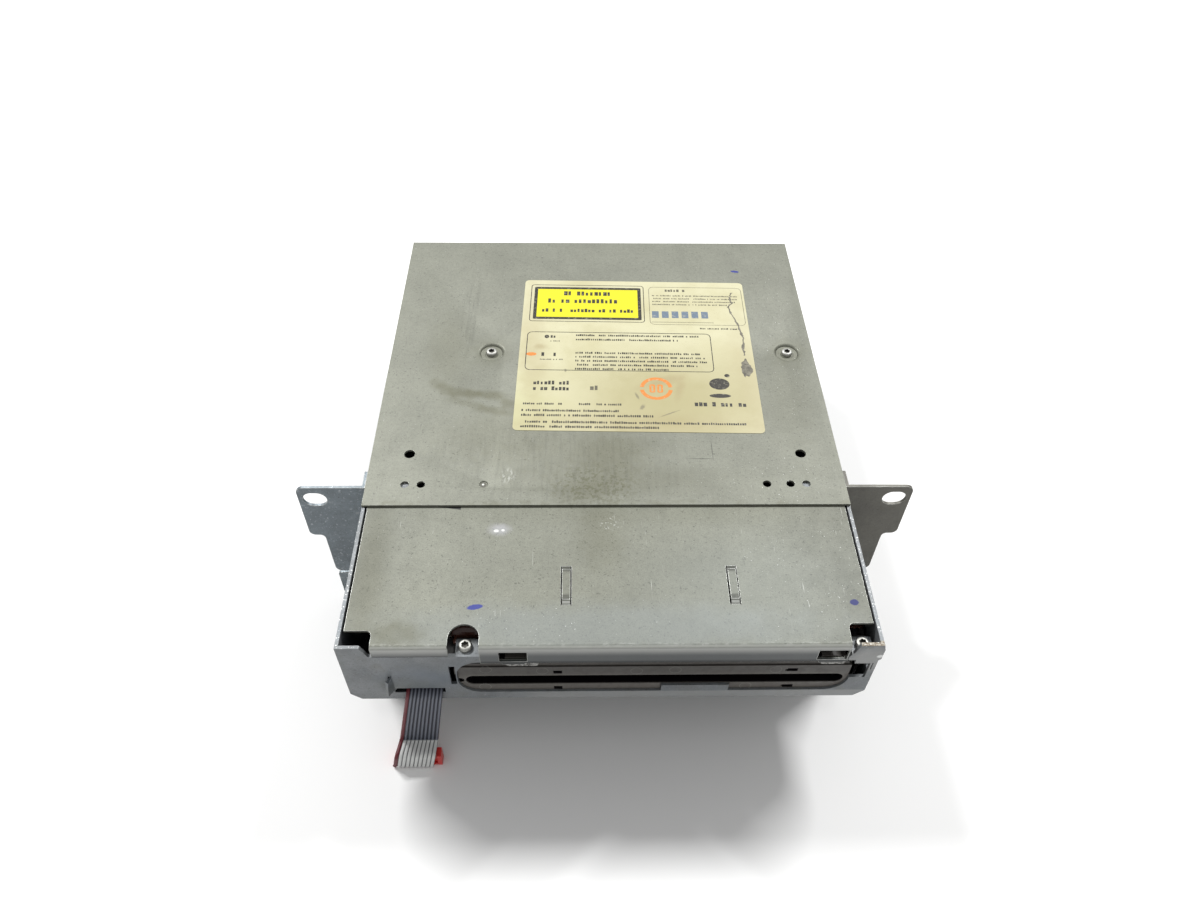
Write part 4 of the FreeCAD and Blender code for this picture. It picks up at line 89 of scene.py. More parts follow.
class Finish(Graph):
    """One material, built up layer by layer: colour, roughness and relief on its shader."""

    def __init__(self, name, colour, roughness=0.5, metallic=0.0):
        self.material = bpy.data.materials.new(name)
        self.material.use_nodes = True
        self.tree = self.material.node_tree
        self.shader = self.tree.nodes["Principled BSDF"]
        self.shader.inputs["Metallic"].default_value = metallic
        self.shader.inputs["Base Color"].default_value = (*colour, 1.0)
        self.shader.inputs["Roughness"].default_value = roughness
        self.colour = (*colour, 1.0)
        self.roughness = roughness
        self.height = None
        self.shine = None
        self.place = self.make("ShaderNodeTexCoord").outputs["Object"]

    def axis(self, letter):
        return self.make("ShaderNodeSeparateXYZ", Vector=self.place).outputs[letter]

    def spread(self, stretch=(1, 1, 1), turn=0.0, place=None):
        """Object coordinates turned about z and stretched, for a pattern with a direction."""
        node = self.make("ShaderNodeMapping", Vector=place or self.place)
        node.inputs["Rotation"].default_value = (0, 0, math.radians(turn))
        node.inputs["Scale"].default_value = stretch
        return node.outputs[0]

    def noise(self, size, detail=3.0, stretch=None, turn=0.0, rough=0.55, shift=0.0):
        """Soft random field with features about this many millimetres wide."""
        place = self.place if stretch is None and not turn else self.spread(stretch or (1, 1, 1), turn)
        if shift:
            place = self.make("ShaderNodeVectorMath", Vector=place).outputs[0]
            place.node.inputs[1].default_value = (shift, shift * 0.7, shift * 1.3)
        node = self.make("ShaderNodeTexNoise", Vector=place, Scale=1.0 / (size * MM), Detail=detail, Roughness=rough)
        return node.outputs["Fac"]

    def cells(self, size, feature="F1", randomness=1.0):
        node = self.make("ShaderNodeTexVoronoi", {"feature": feature}, Vector=self.place, Scale=1.0 / (size * MM))
        node.inputs["Randomness"].default_value = randomness
        return node

    def window(self, value, low, high):
        """0 below low, 1 above high, smooth between; low above high turns it round."""
        node = self.make("ShaderNodeMapRange", {"interpolation_type": "SMOOTHSTEP"}, Value=value)
        node.inputs["From Min"].default_value = low
        node.inputs["From Max"].default_value = high
        return node.outputs[0]

    def both(self, *masks):
        total = masks[0]
        for mask in masks[1:]:
            total = self.math("MULTIPLY", total, mask)
        return total

    def either(self, *masks):
        total = masks[0]
        for mask in masks[1:]:
            total = self.math("MAXIMUM", total, mask)
        return total

    def band(self, letter, low, high, soft=1.0):
        """Mask of the part between two planes across an axis, in millimetres."""
        value = self.axis(letter)
        return self.both(
            self.window(value, (low - soft) * MM, (low + soft) * MM),
            self.window(value, (high + soft) * MM, (high - soft) * MM))

    def distance(self, u, v, reach_u, reach_v, turn=0.0, front=False):
        """Distance from a place, 1 at its rim: (x, y) seen from above or (x, z) seen from the front."""
        node = self.make("ShaderNodeMapping", {"vector_type": "TEXTURE"}, Vector=self.place)
        node.inputs["Location"].default_value = (u * MM, 0, v * MM) if front else (u * MM, v * MM, 0)
        node.inputs["Rotation"].default_value = (0, math.radians(turn), 0) if front else (0, 0, math.radians(turn))
        node.inputs["Scale"].default_value = (
            (reach_u * MM, 1000.0, reach_v * MM) if front else (reach_u * MM, reach_v * MM, 1000.0))
        return self.make("ShaderNodeVectorMath", {"operation": "LENGTH"}, Vector=node.outputs[0]).outputs["Value"]

    def patch(self, u, v, reach_u, reach_v, soft=0.5, ragged=0.0, grain=4.0, turn=0.0, front=False):
        """Mask of a spot in millimetres of the row frame, with its edge broken by noise."""
        far = self.distance(u, v, reach_u, reach_v, turn, front)
        if ragged:
            wobble = self.math("MULTIPLY", self.math("SUBTRACT", self.noise(grain), 0.5), 2 * ragged)
            far = self.math("ADD", far, wobble)
        return self.window(far, 1.0 + soft / 2, 1.0 - soft / 2)

    def ring(self, x, z, radius, width):
        """Mask of a thin circle on a front face."""
        far = self.distance(x, z, radius, radius, front=True)
        edge = width / radius
        return self.both(self.window(far, 1.0 - edge, 1.0), self.window(far, 1.0 + edge, 1.0))

    def tint(self, mask, colour, amount=1.0):
        node = self.make("ShaderNodeMix", {"data_type": "RGBA"})
        self.feed(node.inputs[0], self.math("MULTIPLY", mask, amount) if amount != 1.0 else mask)
        self.feed(node.inputs[6], self.colour)
        self.feed(node.inputs[7], (*colour, 1.0) if isinstance(colour, tuple) else colour)
        self.colour = node.outputs[2]

    def shade(self, mask, factor):
        """Makes the colour darker or lighter by this factor where the mask is 1."""
        node = self.make("ShaderNodeMix", {"data_type": "RGBA", "blend_type": "MULTIPLY"})
        self.feed(node.inputs[0], mask)
        self.feed(node.inputs[6], self.colour)
        self.feed(node.inputs[7], (factor, factor, factor, 1.0))
        self.colour = node.outputs[2]

    def gloss(self, mask, roughness, amount=1.0):
        node = self.make("ShaderNodeMix", {"data_type": "FLOAT"})
        self.feed(node.inputs[0], self.math("MULTIPLY", mask, amount) if amount != 1.0 else mask)
        self.feed(node.inputs[2], self.roughness)
        self.feed(node.inputs[3], roughness)
        self.roughness = node.outputs[0]

    def dull(self, mask):
        """Takes the surface shine away where the mask is 1, as in a deep dark gap."""
        self.shine = self.math("MULTIPLY", self.math("SUBTRACT", 1.0, mask), 0.5)

    def relief(self, field, depth):
        """Adds a height field; depth is in millimetres for field 1."""
        raised = self.math("MULTIPLY", field, depth * MM)
        self.height = raised if self.height is None else self.math("ADD", self.height, raised)

    def done(self):
        self.feed(self.shader.inputs["Base Color"], self.colour)
        self.feed(self.shader.inputs["Roughness"], self.roughness)
        self.feed(self.shader.inputs["Specular IOR Level"], self.shine)
        if self.height is not None:
            bump = self.make("ShaderNodeBump", Height=self.height, Strength=1.0, Distance=1.0)
            self.tree.links.new(bump.outputs[0], self.shader.inputs["Normal"])
        return self.material


def zinc(name, colour, roughness=0.5, metallic=0.3, specks=0.5, cloud=18.0, depth=0.86, grain=0.84):
    """Zinc-coated sheet: soft clouds, fine mottling, wipe marks, small dark and white specks."""
    f = Finish(name, colour, roughness, metallic)
    f.shade(f.window(f.noise(cloud, 5, rough=0.6), 0.34, 0.68), depth)
    f.shade(f.window(f.noise(1.5, 5, rough=0.8), 0.42, 0.60), 0.90)
    f.shade(f.window(f.noise(0.5, 3, rough=0.75, shift=1.3), 0.48, 0.64), grain)
    f.shade(f.window(f.noise(6.0, 3, stretch=(1, 0.12, 1), turn=4), 0.5, 0.7), 0.96)
    f.shade(f.window(f.noise(0.85, 2), 0.63, 0.70), 1.0 - 0.5 * specks)
    f.tint(f.window(f.noise(0.6, 2, shift=3.1), 0.70, 0.76), (0.55, 0.56, 0.54), 0.6 * specks)
    f.gloss(f.window(f.noise(7.0, 4), 0.3, 0.7), roughness + 0.05)
    f.relief(f.noise(0.45, 3), 0.010)
    f.relief(f.noise(2.6, 3), 0.012)
    f.relief(f.noise(30.0, 2), 0.10)
    return f


def moulded(name, colour, roughness=0.45, grain=0.35, spread=0.25):
    """Moulded plastic: even colour, fine grain and faint rubbed patches."""
    f = Finish(name, colour, roughness)
    f.tint(f.window(f.noise(9.0, 4), 0.35, 0.7), tuple(min(1.0, c * (1 + spread) + 0.004) for c in colour))
    f.gloss(f.window(f.noise(3.0, 3), 0.4, 0.65), min(1.0, roughness + 0.14))
    f.relief(f.noise(grain, 2), 0.008)
    return f


def drawn_metal(name, colour, roughness=0.3, stretch=(1, 12, 1)):
    """Ground, drawn or turned metal with fine lines along one way."""
    f = Finish(name, colour, roughness, 1.0)
    lines = f.noise(2.0, 3, stretch=stretch)
    f.shade(f.window(lines, 0.35, 0.7), 0.8)
    f.gloss(f.window(f.noise(5.0, 3), 0.35, 0.7), roughness + 0.15)
    f.relief(lines, 0.006)
    return f


def screw_finish():
    """Bright zinc heads with the recess painted dark as painted shade, which the heads carry as an attribute."""
    f = drawn_metal("zinc_screw_heads", (0.46, 0.46, 0.43), 0.5, (1, 1, 1))
    recess = f.make("ShaderNodeAttribute", {"attribute_name": "recess"}).outputs["Fac"]
    # Painted shade: the recess is painted near-black.
    f.tint(f.window(recess, 0.25, 0.95), (0.06, 0.056, 0.048), 0.85)
    f.gloss(f.window(recess, 0.4, 0.9), 0.7)
    return f.done()


PLATE_GREY = (0.190, 0.202, 0.209)
MARKER_BLUE = (0.012, 0.022, 0.20)
STAIN = (0.078, 0.074, 0.034)
# Light grey of scuffs, also used for a painted highlight along the bridges' front ends.
SCUFF_AND_HIGHLIGHT = (0.60, 0.61, 0.58)


def front_cover_finish():
    """Front cover: stains by the left notch, a worn bend, scratches, white chips and two marker dabs, with a painted
    highlight on the bend, painted light and shade on the lip and the two bridges, painted shade at the right end and a
    painted shadow under the rear cover's edge.
    """
    f = zinc("zinc_front_cover", (0.202, 0.208, 0.169), specks=0.8, depth=0.90, grain=0.78)
    f.tint(f.patch(-71.0, -107.5, 9, 4, 1.0, 0.6, 4), STAIN, 0.52)
    f.tint(f.patch(-83.0, -84.0, 5, 28, 1.6, 0.6, 7), STAIN, 0.30)
    f.tint(f.patch(-3.0, -66.0, 7, 15, 1.8, 0.8, 5), STAIN, 0.26)
    f.tint(f.patch(18.0, -57.0, 62, 5, 1.6, 0.6, 8), STAIN, 0.14)
    f.tint(f.patch(-39.0, -64.6, 3.4, 2.2, 1.4, 0.4, 2), (0.38, 0.38, 0.42), 0.45)
    f.tint(f.either(f.patch(-40.2, -65.3, 0.9, 0.6, 0.6, 0.3, 0.8), f.patch(-37.8, -65.0, 0.6, 0.5, 0.6, 0.3, 0.8)), SCUFF_AND_HIGHLIGHT, 0.9)
    f.tint(f.both(f.patch(1.0, -62.0, 3.6, 3.0, 0.9), f.window(f.noise(0.8, 3), 0.56, 0.66)), SCUFF_AND_HIGHLIGHT, 0.4)
    f.tint(f.patch(52.0, -90.0, 34, 20, 1.6), (0.21, 0.232, 0.225), 0.25)
    # Darker towards the right end, painted shade, and darker towards the left end.
    f.shade(f.window(f.axis("X"), 55 * MM, 88 * MM), 0.72)
    f.shade(f.window(f.axis("X"), -62 * MM, -88 * MM), 0.78)
    f.tint(f.patch(0.0, -106.0, 66, 9, 1.2, 0.4, 9), (0.20, 0.225, 0.235), 0.35)
    chips = f.window(f.noise(0.62, 2, shift=7.7), 0.71, 0.76)
    f.tint(f.both(f.patch(70, -84, 22, 30, 1.2), chips), (0.72, 0.73, 0.72), 0.8)
    f.tint(f.both(f.patch(-18, -104, 34, 7, 1.0), chips), (0.75, 0.76, 0.74), 0.8)
    f.tint(f.both(f.window(f.noise(0.6, 2, stretch=(1, 0.05, 1), turn=38), 0.70, 0.75),
                  f.window(f.noise(25, 2), 0.5, 0.6)), SCUFF_AND_HIGHLIGHT, 0.35)
    # The two pressed bridges: the strips painted a little darker, painted shade at both ends where their slopes turn
    # from the light, a painted highlight along the front end, and painted shade widening the slits beside them.
    for x in (-14.9, 42.6):
        strip = f.band("X", x - 1.45, x + 1.45, 0.05)
        f.shade(f.both(strip, f.band("Y", -96.55, -80.95, 0.2)), 0.88)
        f.shade(f.both(strip, f.either(f.band("Y", -83.6, -80.9, 0.5), f.band("Y", -95.3, -93.0, 0.4))), 0.50)
        f.tint(f.both(strip, f.band("Y", -96.2, -95.4, 0.15)), SCUFF_AND_HIGHLIGHT, 0.5)
        slits = f.either(f.band("X", x - 1.85, x - 1.45, 0.06), f.band("X", x + 1.40, x + 1.95, 0.06))
        f.tint(f.both(slits, f.band("Y", -96.9, -81.2, 0.2)), (0.05, 0.048, 0.04), 0.85)
    flat = f.window(f.axis("Z"), 69.6 * MM, 70.6 * MM)
    # Painted highlight: the top's front edge along the bend is painted light.
    f.tint(f.both(f.band("Y", FRONT_Y - 1, FRONT_Y + 0.7, 0.35), flat), (0.50, 0.51, 0.47), 0.8)
    worn = f.both(f.band("Y", FRONT_Y - 1, FRONT_Y + 1.6, 0.5), flat, f.window(f.noise(1.1, 4, stretch=(0.5, 1, 1)), 0.5, 0.64))
    f.tint(worn, SCUFF_AND_HIGHLIGHT, 0.15)
    # Painted light on the front lip: painted darker and bluish, with a painted highlight fading down from the bend and
    # painted shade along its lower edge.
    lip = f.both(f.window(f.axis("Z"), 70.4 * MM, 69.6 * MM), f.band("Y", FRONT_Y - 1, FRONT_Y + 0.6, 0.2))
    f.tint(lip, (0.092, 0.098, 0.102), 0.90)
    f.tint(f.both(lip, f.window(f.axis("Z"), 65.0 * MM, 70.0 * MM)), (0.40, 0.405, 0.385), 0.9)
    f.shade(f.both(lip, f.window(f.axis("Z"), 63.0 * MM, 61.4 * MM)), 0.4)
    f.tint(f.patch(-45.5, -97.3, 2.7, 1.0, 0.3, 0.25, 1.0, 10), MARKER_BLUE, 0.9)
    f.tint(f.patch(83.1, -96.2, 1.5, 1.2, 0.3, 0.2, 1.2), (0.010, 0.014, 0.10), 0.95)
    # Painted shadow: a thin black wedge on the front cover under the rear cover's raised front edge.
    painted_gap_shadow = f.math("ADD", f.axis("Y"), f.math("MULTIPLY", f.math("ADD", f.axis("X"), 62.2 * MM), 0.16))
    f.tint(f.both(f.window(painted_gap_shadow, -54.26 * MM, -54.14 * MM), f.band("X", -62.2, -53.7, 0.1)), (0.01, 0.01, 0.01), 0.95)
    return f.done()


def rear_cover_finish():
    """Rear cover: brown smears beside the label, dull rings round the dimples, a scuffed front edge and painted shade
    towards the right.
    """
    f = zinc("zinc_rear_cover", (0.214, 0.220, 0.180), specks=0.7, depth=0.89)
    for u, v, reach_u, reach_v, turn, amount in (
            (-66.5, 8.5, 5.0, 2.4, -34, 0.42), (-58.0, 4.4, 6.5, 2.6, -4, 0.50), (-47.0, 3.4, 7.0, 2.2, -6, 0.50),
            (-38.5, -1.6, 4.5, 2.6, -28, 0.45), (-56.0, -1.2, 7.0, 1.7, -14, 0.30), (-45.0, -5.6, 8.0, 2.0, -12, 0.40),
            (-7.0, -47.5, 11, 5, 10, 0.3), (2.0, -30.0, 12, 11, 10, 0.30), (-10.0, -27.0, 30, 9, 8, 0.22),
            (2.0, -42.0, 34, 7, 0, 0.22), (-40.0, -18.0, 22, 12, 10, 0.24), (-66.0, 30.0, 8, 20, 5, 0.2),
            (-47.6, 29.6, 7.5, 7.5, 0, 0.25), (79.0, 29.6, 7.5, 7.5, 0, 0.25), (74.0, 0.0, 9, 22, 0, 0.16)):
        f.tint(f.patch(u, v, reach_u, reach_v, 1.5, 0.6, 3.0, turn), STAIN, amount)
    f.tint(f.both(f.patch(-5.0, -45.0, 15, 9, 1.2), f.window(f.noise(1.3, 3), 0.48, 0.60)), (0.070, 0.070, 0.030), 0.5)
    wiped = f.window(f.noise(1.6, 3, stretch=(1, 0.10, 1), turn=-6), 0.48, 0.62)
    f.shade(f.both(f.patch(-20.0, -34.0, 44, 22, 1.4), wiped), 0.90)
    # Darker towards the right, painted shade.
    f.shade(f.window(f.axis("X"), 20 * MM, 88 * MM), 0.93)
    f.tint(f.patch(-46.2, -44.2, 1.3, 1.3, 0.3), (0.055, 0.052, 0.040), 0.7)
    f.tint(f.patch(-46.3, -44.0, 0.45, 0.45, 0.3), SCUFF_AND_HIGHLIGHT, 0.9)
    f.shade(f.both(f.patch(-58.0, 55.0, 4.0, 26.0, 0.9),
                   f.window(f.noise(1.4, 2, stretch=(1, 0.06, 1)), 0.45, 0.62)), 0.88)
    f.tint(f.both(f.band("Y", -54.6, -52.0, 0.9), f.window(f.noise(5.0, 4), 0.45, 0.65)), STAIN, 0.25)
    f.tint(f.both(f.patch(-37.3, -40.0, 2.6, 3.4, 1.0), f.window(f.noise(0.7, 2, stretch=(1, 0.3, 1)), 0.5, 0.6)), SCUFF_AND_HIGHLIGHT, 0.25)
    chips = f.window(f.noise(0.62, 2, shift=5.2), 0.71, 0.76)
    f.tint(f.both(f.patch(66, -42, 30, 13, 1.1), chips), (0.80, 0.81, 0.80), 0.9)
    f.tint(f.both(f.patch(78, 40, 12, 60, 1.1), chips), (0.74, 0.75, 0.73), 0.7)
    for x, y, reach_x, reach_y in ((36.4, -31.6, 4.6, 0.2), (41.2, -27.0, 0.2, 4.6)):
        f.shade(f.patch(x, y, reach_x, reach_y, 0.9), 0.55)
    f.tint(f.patch(62.9, 86.1, 1.9, 0.8, 0.3, 0.2, 1.0, -8), MARKER_BLUE, 0.9)
    return f.done()


def shell_finish():
    """Shell: bluish front plate with a faint dark scribble, a rusty right corner edge, and painted shade, near-black
    and without shine, behind the front plate and on the cable slot's sill.
    """
    f = zinc("zinc_shell", PLATE_GREY, 0.44, specks=0.7, cloud=8.0, depth=0.80)
    f.tint(f.window(f.noise(15.0, 4, shift=4.4), 0.45, 0.65), (0.135, 0.155, 0.175), 0.35)
    f.tint(f.window(f.noise(5.0, 4, shift=9.1), 0.56, 0.70), STAIN, 0.18)
    plate = f.band("Y", FRONT_Y - 3.5, FRONT_Y + 1.4, 0.2)
    f.tint(f.both(plate, f.patch(-64.0, 50.0, 13, 7, 1.4, 0.5, 6, front=True)), (0.11, 0.135, 0.165), 0.55)
    low = f.both(f.band("Z", 35.0, 41.2, 0.4), f.band("Y", FRONT_Y - 1, FRONT_Y + 1.6, 0.2))
    f.tint(f.both(low, f.window(f.axis("X"), -40 * MM, -20 * MM)), (0.32, 0.325, 0.32), 0.55)
    f.tint(f.both(plate, f.patch(87.0, 62.0, 8, 7, 1.0, 0.4, 4, front=True)), (0.32, 0.32, 0.31), 0.6)
    strokes = f.window(f.noise(1.0, 3, stretch=(1, 1, 2.2), shift=1.7), 0.50, 0.58)
    f.tint(f.both(plate, f.patch(-83.0, 55.5, 4.6, 3.4, 0.8, 0.3, 3, front=True), strokes), (0.07, 0.075, 0.08), 0.5)
    f.tint(f.both(plate, f.patch(-70.5, 51.5, 2.8, 2.2, 0.9, 0.3, 3, front=True), strokes), (0.07, 0.075, 0.08), 0.45)
    top = f.window(f.axis("Z"), 70.5 * MM, 70.8 * MM)
    edge = f.both(top, f.band("X", 79.0, 91.0, 0.8), f.band("Y", -114.0, -111.2, 0.2))
    f.tint(edge, (0.33, 0.30, 0.23), 0.7)
    f.tint(f.both(edge, f.window(f.noise(0.9, 4, rough=0.8), 0.44, 0.54)), (0.075, 0.048, 0.022), 0.85)
    chips = f.window(f.noise(0.7, 2, shift=2.2), 0.62, 0.68)
    f.tint(f.both(top, chips), (0.80, 0.81, 0.79), 0.8)
    f.tint(f.both(plate, f.patch(-70.0, 47.0, 9, 4, 1.4, 0.7, 3, front=True)), STAIN, 0.22)
    f.tint(f.both(plate, f.patch(90.0, 64.0, 1.1, 0.9, 0.5, 0.3, 1.0, front=True)), (0.72, 0.73, 0.72), 0.8)
    # Painted shade: the shell inside the front plate and the sill of the cable slot are painted near-black and lose
    # their shine.
    inside = f.both(f.band("X", -88.7, 88.7, 0.1), f.window(f.axis("Y"), (FRONT_Y + 1.0) * MM, (FRONT_Y + 1.4) * MM),
                    f.window(f.axis("Z"), 64.2 * MM, 63.8 * MM))
    sill = f.both(f.band("X", -74.6, -56.6, 0.2), f.band("Z", 41.2, 41.75, 0.08), f.band("Y", -112.7, -111.0, 0.1))
    dark = f.either(inside, sill)
    f.tint(dark, (0.012, 0.012, 0.012), 0.9)
    f.dull(dark)
    return f.done()


def left_ear_finish():
    """Left bracket: dark bluish zinc with bright spangle."""
    f = zinc("zinc_left_ear", (0.180, 0.215, 0.238), 0.38, specks=1.0, depth=0.7)
    f.tint(f.window(f.noise(1.1, 3, shift=3.3, rough=0.7), 0.60, 0.68), (0.50, 0.54, 0.57), 0.6)
    f.tint(f.window(f.noise(3.0, 4, shift=6.1), 0.58, 0.70), (0.34, 0.37, 0.39), 0.4)
    return f.done()


def bezel_finish():
    """Warm dark grey plastic with round ejector marks; near-black inside the slot, partly its black lining and partly
    painted shade, painted shade in four small holes and under the cover's lip, and a painted shadow band under the lip.
    """
    f = moulded("slot_frame_plastic", (0.078, 0.071, 0.062), 0.42, spread=0.12)
    for x, z in EJECTOR_MARKS:
        mark = f.ring(x, z, 2.0, 0.22)
        f.tint(mark, (0.19, 0.18, 0.165), 0.7)
        f.relief(mark, -0.05)
    f.shade(f.window(f.noise(2.2, 3), 0.55, 0.7), 0.85)
    f.shade(f.window(f.axis("Z"), 43.6 * MM, 40.6 * MM), 0.8)
    # Painted shadow: a darker band at the top of the bezel, under the cover's lip.
    f.shade(f.window(f.axis("Z"), 50.5 * MM, 53.5 * MM), 0.58)
    # Painted shade, near-black with no shine: deep inside the slot (partly its black lining), a bite at its left end,
    # four small holes above and below it, and the bezel's top under the cover's lip.
    inward = f.window(f.axis("Y"), (FRONT_Y + 0.95) * MM, (FRONT_Y + 1.25) * MM)
    bite = f.patch(-51.3, 48.4, 1.4, 1.4, 0.1, front=True)
    deep = f.both(inward, f.either(f.band("Z", 45.2, 51.6, 0.1), bite))
    left_hole_shade = f.both(f.either(f.band("Z", 52.5, 54.4, 0.1), f.band("Z", 41.6, 43.5, 0.1)), f.band("X", -19.2, -16.3, 0.1))
    right_hole_shade = f.both(f.either(f.band("Z", 53.1, 55.0, 0.1), f.band("Z", 41.9, 43.8, 0.1)), f.band("X", 60.6, 64.2, 0.1))
    on_pads = f.either(f.band("X", -35.2, -24.0, 0.1), f.band("X", 70.9, 79.6, 0.1))
    painted_lip_shadow = f.both(f.window(f.axis("Z"), 58.4 * MM, 59.0 * MM), f.math("SUBTRACT", 1.0, on_pads))
    dark = f.either(deep, left_hole_shade, right_hole_shade, painted_lip_shadow)
    f.tint(dark, (0.004, 0.003, 0.004), 0.98)
    f.dull(dark)
    pads = f.band("Z", 57.7, 60.2, 0.1)
    f.tint(f.both(pads, on_pads, f.window(f.noise(1.0, 4, rough=0.7), 0.42, 0.58)), (0.40, 0.40, 0.38), 0.75)
    return f.done()


EJECTOR_MARKS = ((-42.1, 55.2), (-23.0, 54.2), (9.1, 53.8), (22.3, 54.3), (56.7, 54.1), (-43.0, 43.6), (47.6, 43.1))

finish = {
    "cover_front": front_cover_finish(),
    "cover_rear": rear_cover_finish(),
    "galvanised_sheet": shell_finish(),
    "left_bracket_sheet": left_ear_finish(),
    "right_bracket_sheet": zinc("zinc_right_ear", (0.122, 0.117, 0.098), 0.44, specks=0.7, depth=0.75).done(),
    "drive_sheet": zinc("zinc_drive", (0.26, 0.265, 0.26), 0.35, 0.9).done(),
    "panel_sheet": zinc("zinc_panel", PLATE_GREY, 0.44, specks=0.7, cloud=14.0, depth=0.82).done(),
    # Near-black sheet: painted shade for the drive shelf and cage inside the closed box.
    "inner_sheet": zinc("zinc_inside_painted_shade", (0.035, 0.035, 0.034), 0.6, 0.3).done(),
    # Bevel faces on sheet edges: brighter metal, partly real edge wear and partly a painted highlight where edges catch
    # the light.
    "edge_wear_and_sheen": zinc("sheet_edge_wear_and_sheen", (0.50, 0.51, 0.48), 0.36, 0.8, depth=0.6, cloud=5.0).done(),
    "zinc_screws": screw_finish(),
    "frame_plastic": bezel_finish(),
    "guide_plastic": moulded("disc_guide_plastic", (0.050, 0.019, 0.013), 0.16).done(),
    "wiper_felt": moulded("black_wiper_felt", (0.008, 0.008, 0.009), 0.95, 0.25).done(),
    "black_rubber": moulded("black_rubber", (0.02, 0.02, 0.02), 0.8).done(),
    "gear_plastic": moulded("natural_gear_plastic", (0.55, 0.53, 0.46), 0.35).done(),
    "slider_plastic": moulded("black_slider_plastic", (0.03, 0.03, 0.032), 0.35).done(),
    "motor_can": drawn_metal("drawn_motor_can", (0.55, 0.56, 0.55), 0.3).done(),
    "ground_steel": drawn_metal("ground_steel", (0.58, 0.58, 0.59), 0.18, (1, 1, 1)).done(),
    "worm_brass": drawn_metal("turned_brass", (0.62, 0.42, 0.16), 0.25).done(),
    "hub_plastic": moulded("black_hub_plastic", (0.025, 0.025, 0.027), 0.3).done(),
    "sled_casting": drawn_metal("cast_sled", (0.42, 0.43, 0.44), 0.5, (1, 1, 1)).done(),
    "spring_wire": drawn_metal("spring_wire", (0.40, 0.40, 0.41), 0.3).done(),
    "circuit_board": moulded("green_board", (0.02, 0.11, 0.045), 0.3).done(),
    "chip_black": moulded("black_epoxy", (0.015, 0.015, 0.017), 0.55).done(),
    "capacitor_sleeve": moulded("dark_sleeve", (0.012, 0.014, 0.05), 0.25).done(),
    "tinned_steel": drawn_metal("tinned_steel", (0.56, 0.56, 0.54), 0.28).done(),
    "plug_plastic": moulded("ivory_plug_plastic", (0.50, 0.48, 0.39), 0.38).done(),
    "tinned_pins": drawn_metal("tinned_pins", (0.62, 0.62, 0.58), 0.22).done(),
    "socket_metal": drawn_metal("nickel_sockets", (0.55, 0.55, 0.53), 0.22).done(),
    "sink_aluminium": drawn_metal("extruded_aluminium", (0.58, 0.59, 0.60), 0.34, (12, 12, 1)).done(),
    "fan_plastic": moulded("black_fan_plastic", (0.022, 0.022, 0.024), 0.4).done(),
    "connector_red": moulded("red_connector_plastic", (0.58, 0.035, 0.030), 0.34).done(),
    "header_plastic": moulded("white_header_plastic", (0.60, 0.58, 0.50), 0.4).done(),
}


def lens_glass():
    f = Finish("coated_lens", (0.55, 0.65, 0.80), 0.05)
    f.shader.inputs["Transmission Weight"].default_value = 0.8
    f.relief(f.noise(0.8, 2), 0.001)
    return f.done()


def label_vinyl():
    """Aged cream label: yellowed clouds, brown smears near its left and lower sides, rubbed edges."""
    f = Finish("cream_label_vinyl", (0.51, 0.49, 0.325), 0.55)
    f.tint(f.window(f.noise(24, 4), 0.35, 0.7), (0.43, 0.40, 0.235), 0.8)
    f.tint(f.patch(28.0, 0.0, 34, 26, 1.6, 0.5, 12), (0.33, 0.295, 0.145), 0.85)
    f.tint(f.patch(-36.0, -2.0, 16, 16, 1.6, 0.7, 8), (0.43, 0.42, 0.22), 0.5)
    for x, y, reach_x, reach_y, turn in ((13.4, 2.6, 0.5, 1.8, 20), (15.3, -3.8, 0.8, 1.4, -30), (26.0, -7.5, 4.0, 0.3, 25),
                                         (-16.0, 18.0, 0.5, 0.9, 0), (33.0, 55.0, 0.4, 0.8, 0)):
        f.tint(f.patch(x, y, reach_x, reach_y, 1.0, 0.6, 0.9, turn), (0.11, 0.10, 0.07), 0.6)
    for x, y, reach_x, reach_y, turn, amount in (
            (-30.0, 30.0, 5, 40, 2, 0.3), (14.0, -14.0, 50, 6, -1, 0.28), (60.0, 20.0, 6, 34, 0, 0.22),
            (24.0, 11.0, 9, 2.2, 20, 0.5), (31.0, 6.0, 1.6, 6, -14, 0.5), (-27.0, 33.0, 2.4, 1.5, 0, 0.5)):
        f.tint(f.patch(x, y, reach_x, reach_y, 1.5, 0.7, 5, turn), (0.30, 0.24, 0.12), amount)
    f.tint(f.window(f.noise(1.1, 4, rough=0.7), 0.60, 0.72), (0.36, 0.32, 0.21), 0.4)
    f.gloss(f.window(f.noise(9.0, 3), 0.4, 0.7), 0.36)
    f.relief(f.noise(14, 3), 0.10)
    f.relief(f.noise(2.0, 3), 0.012)
    return f.done()


def ink(name, colour, worn=0.5):
    """Printed ink, thin in places."""
    f = Finish(name, colour, 0.45)
    f.tint(f.window(f.noise(1.6, 4, rough=0.7), 0.52, 0.68), (0.52, 0.49, 0.36), worn)
    f.relief(f.noise(2.0, 3), 0.012)
    return f.done()


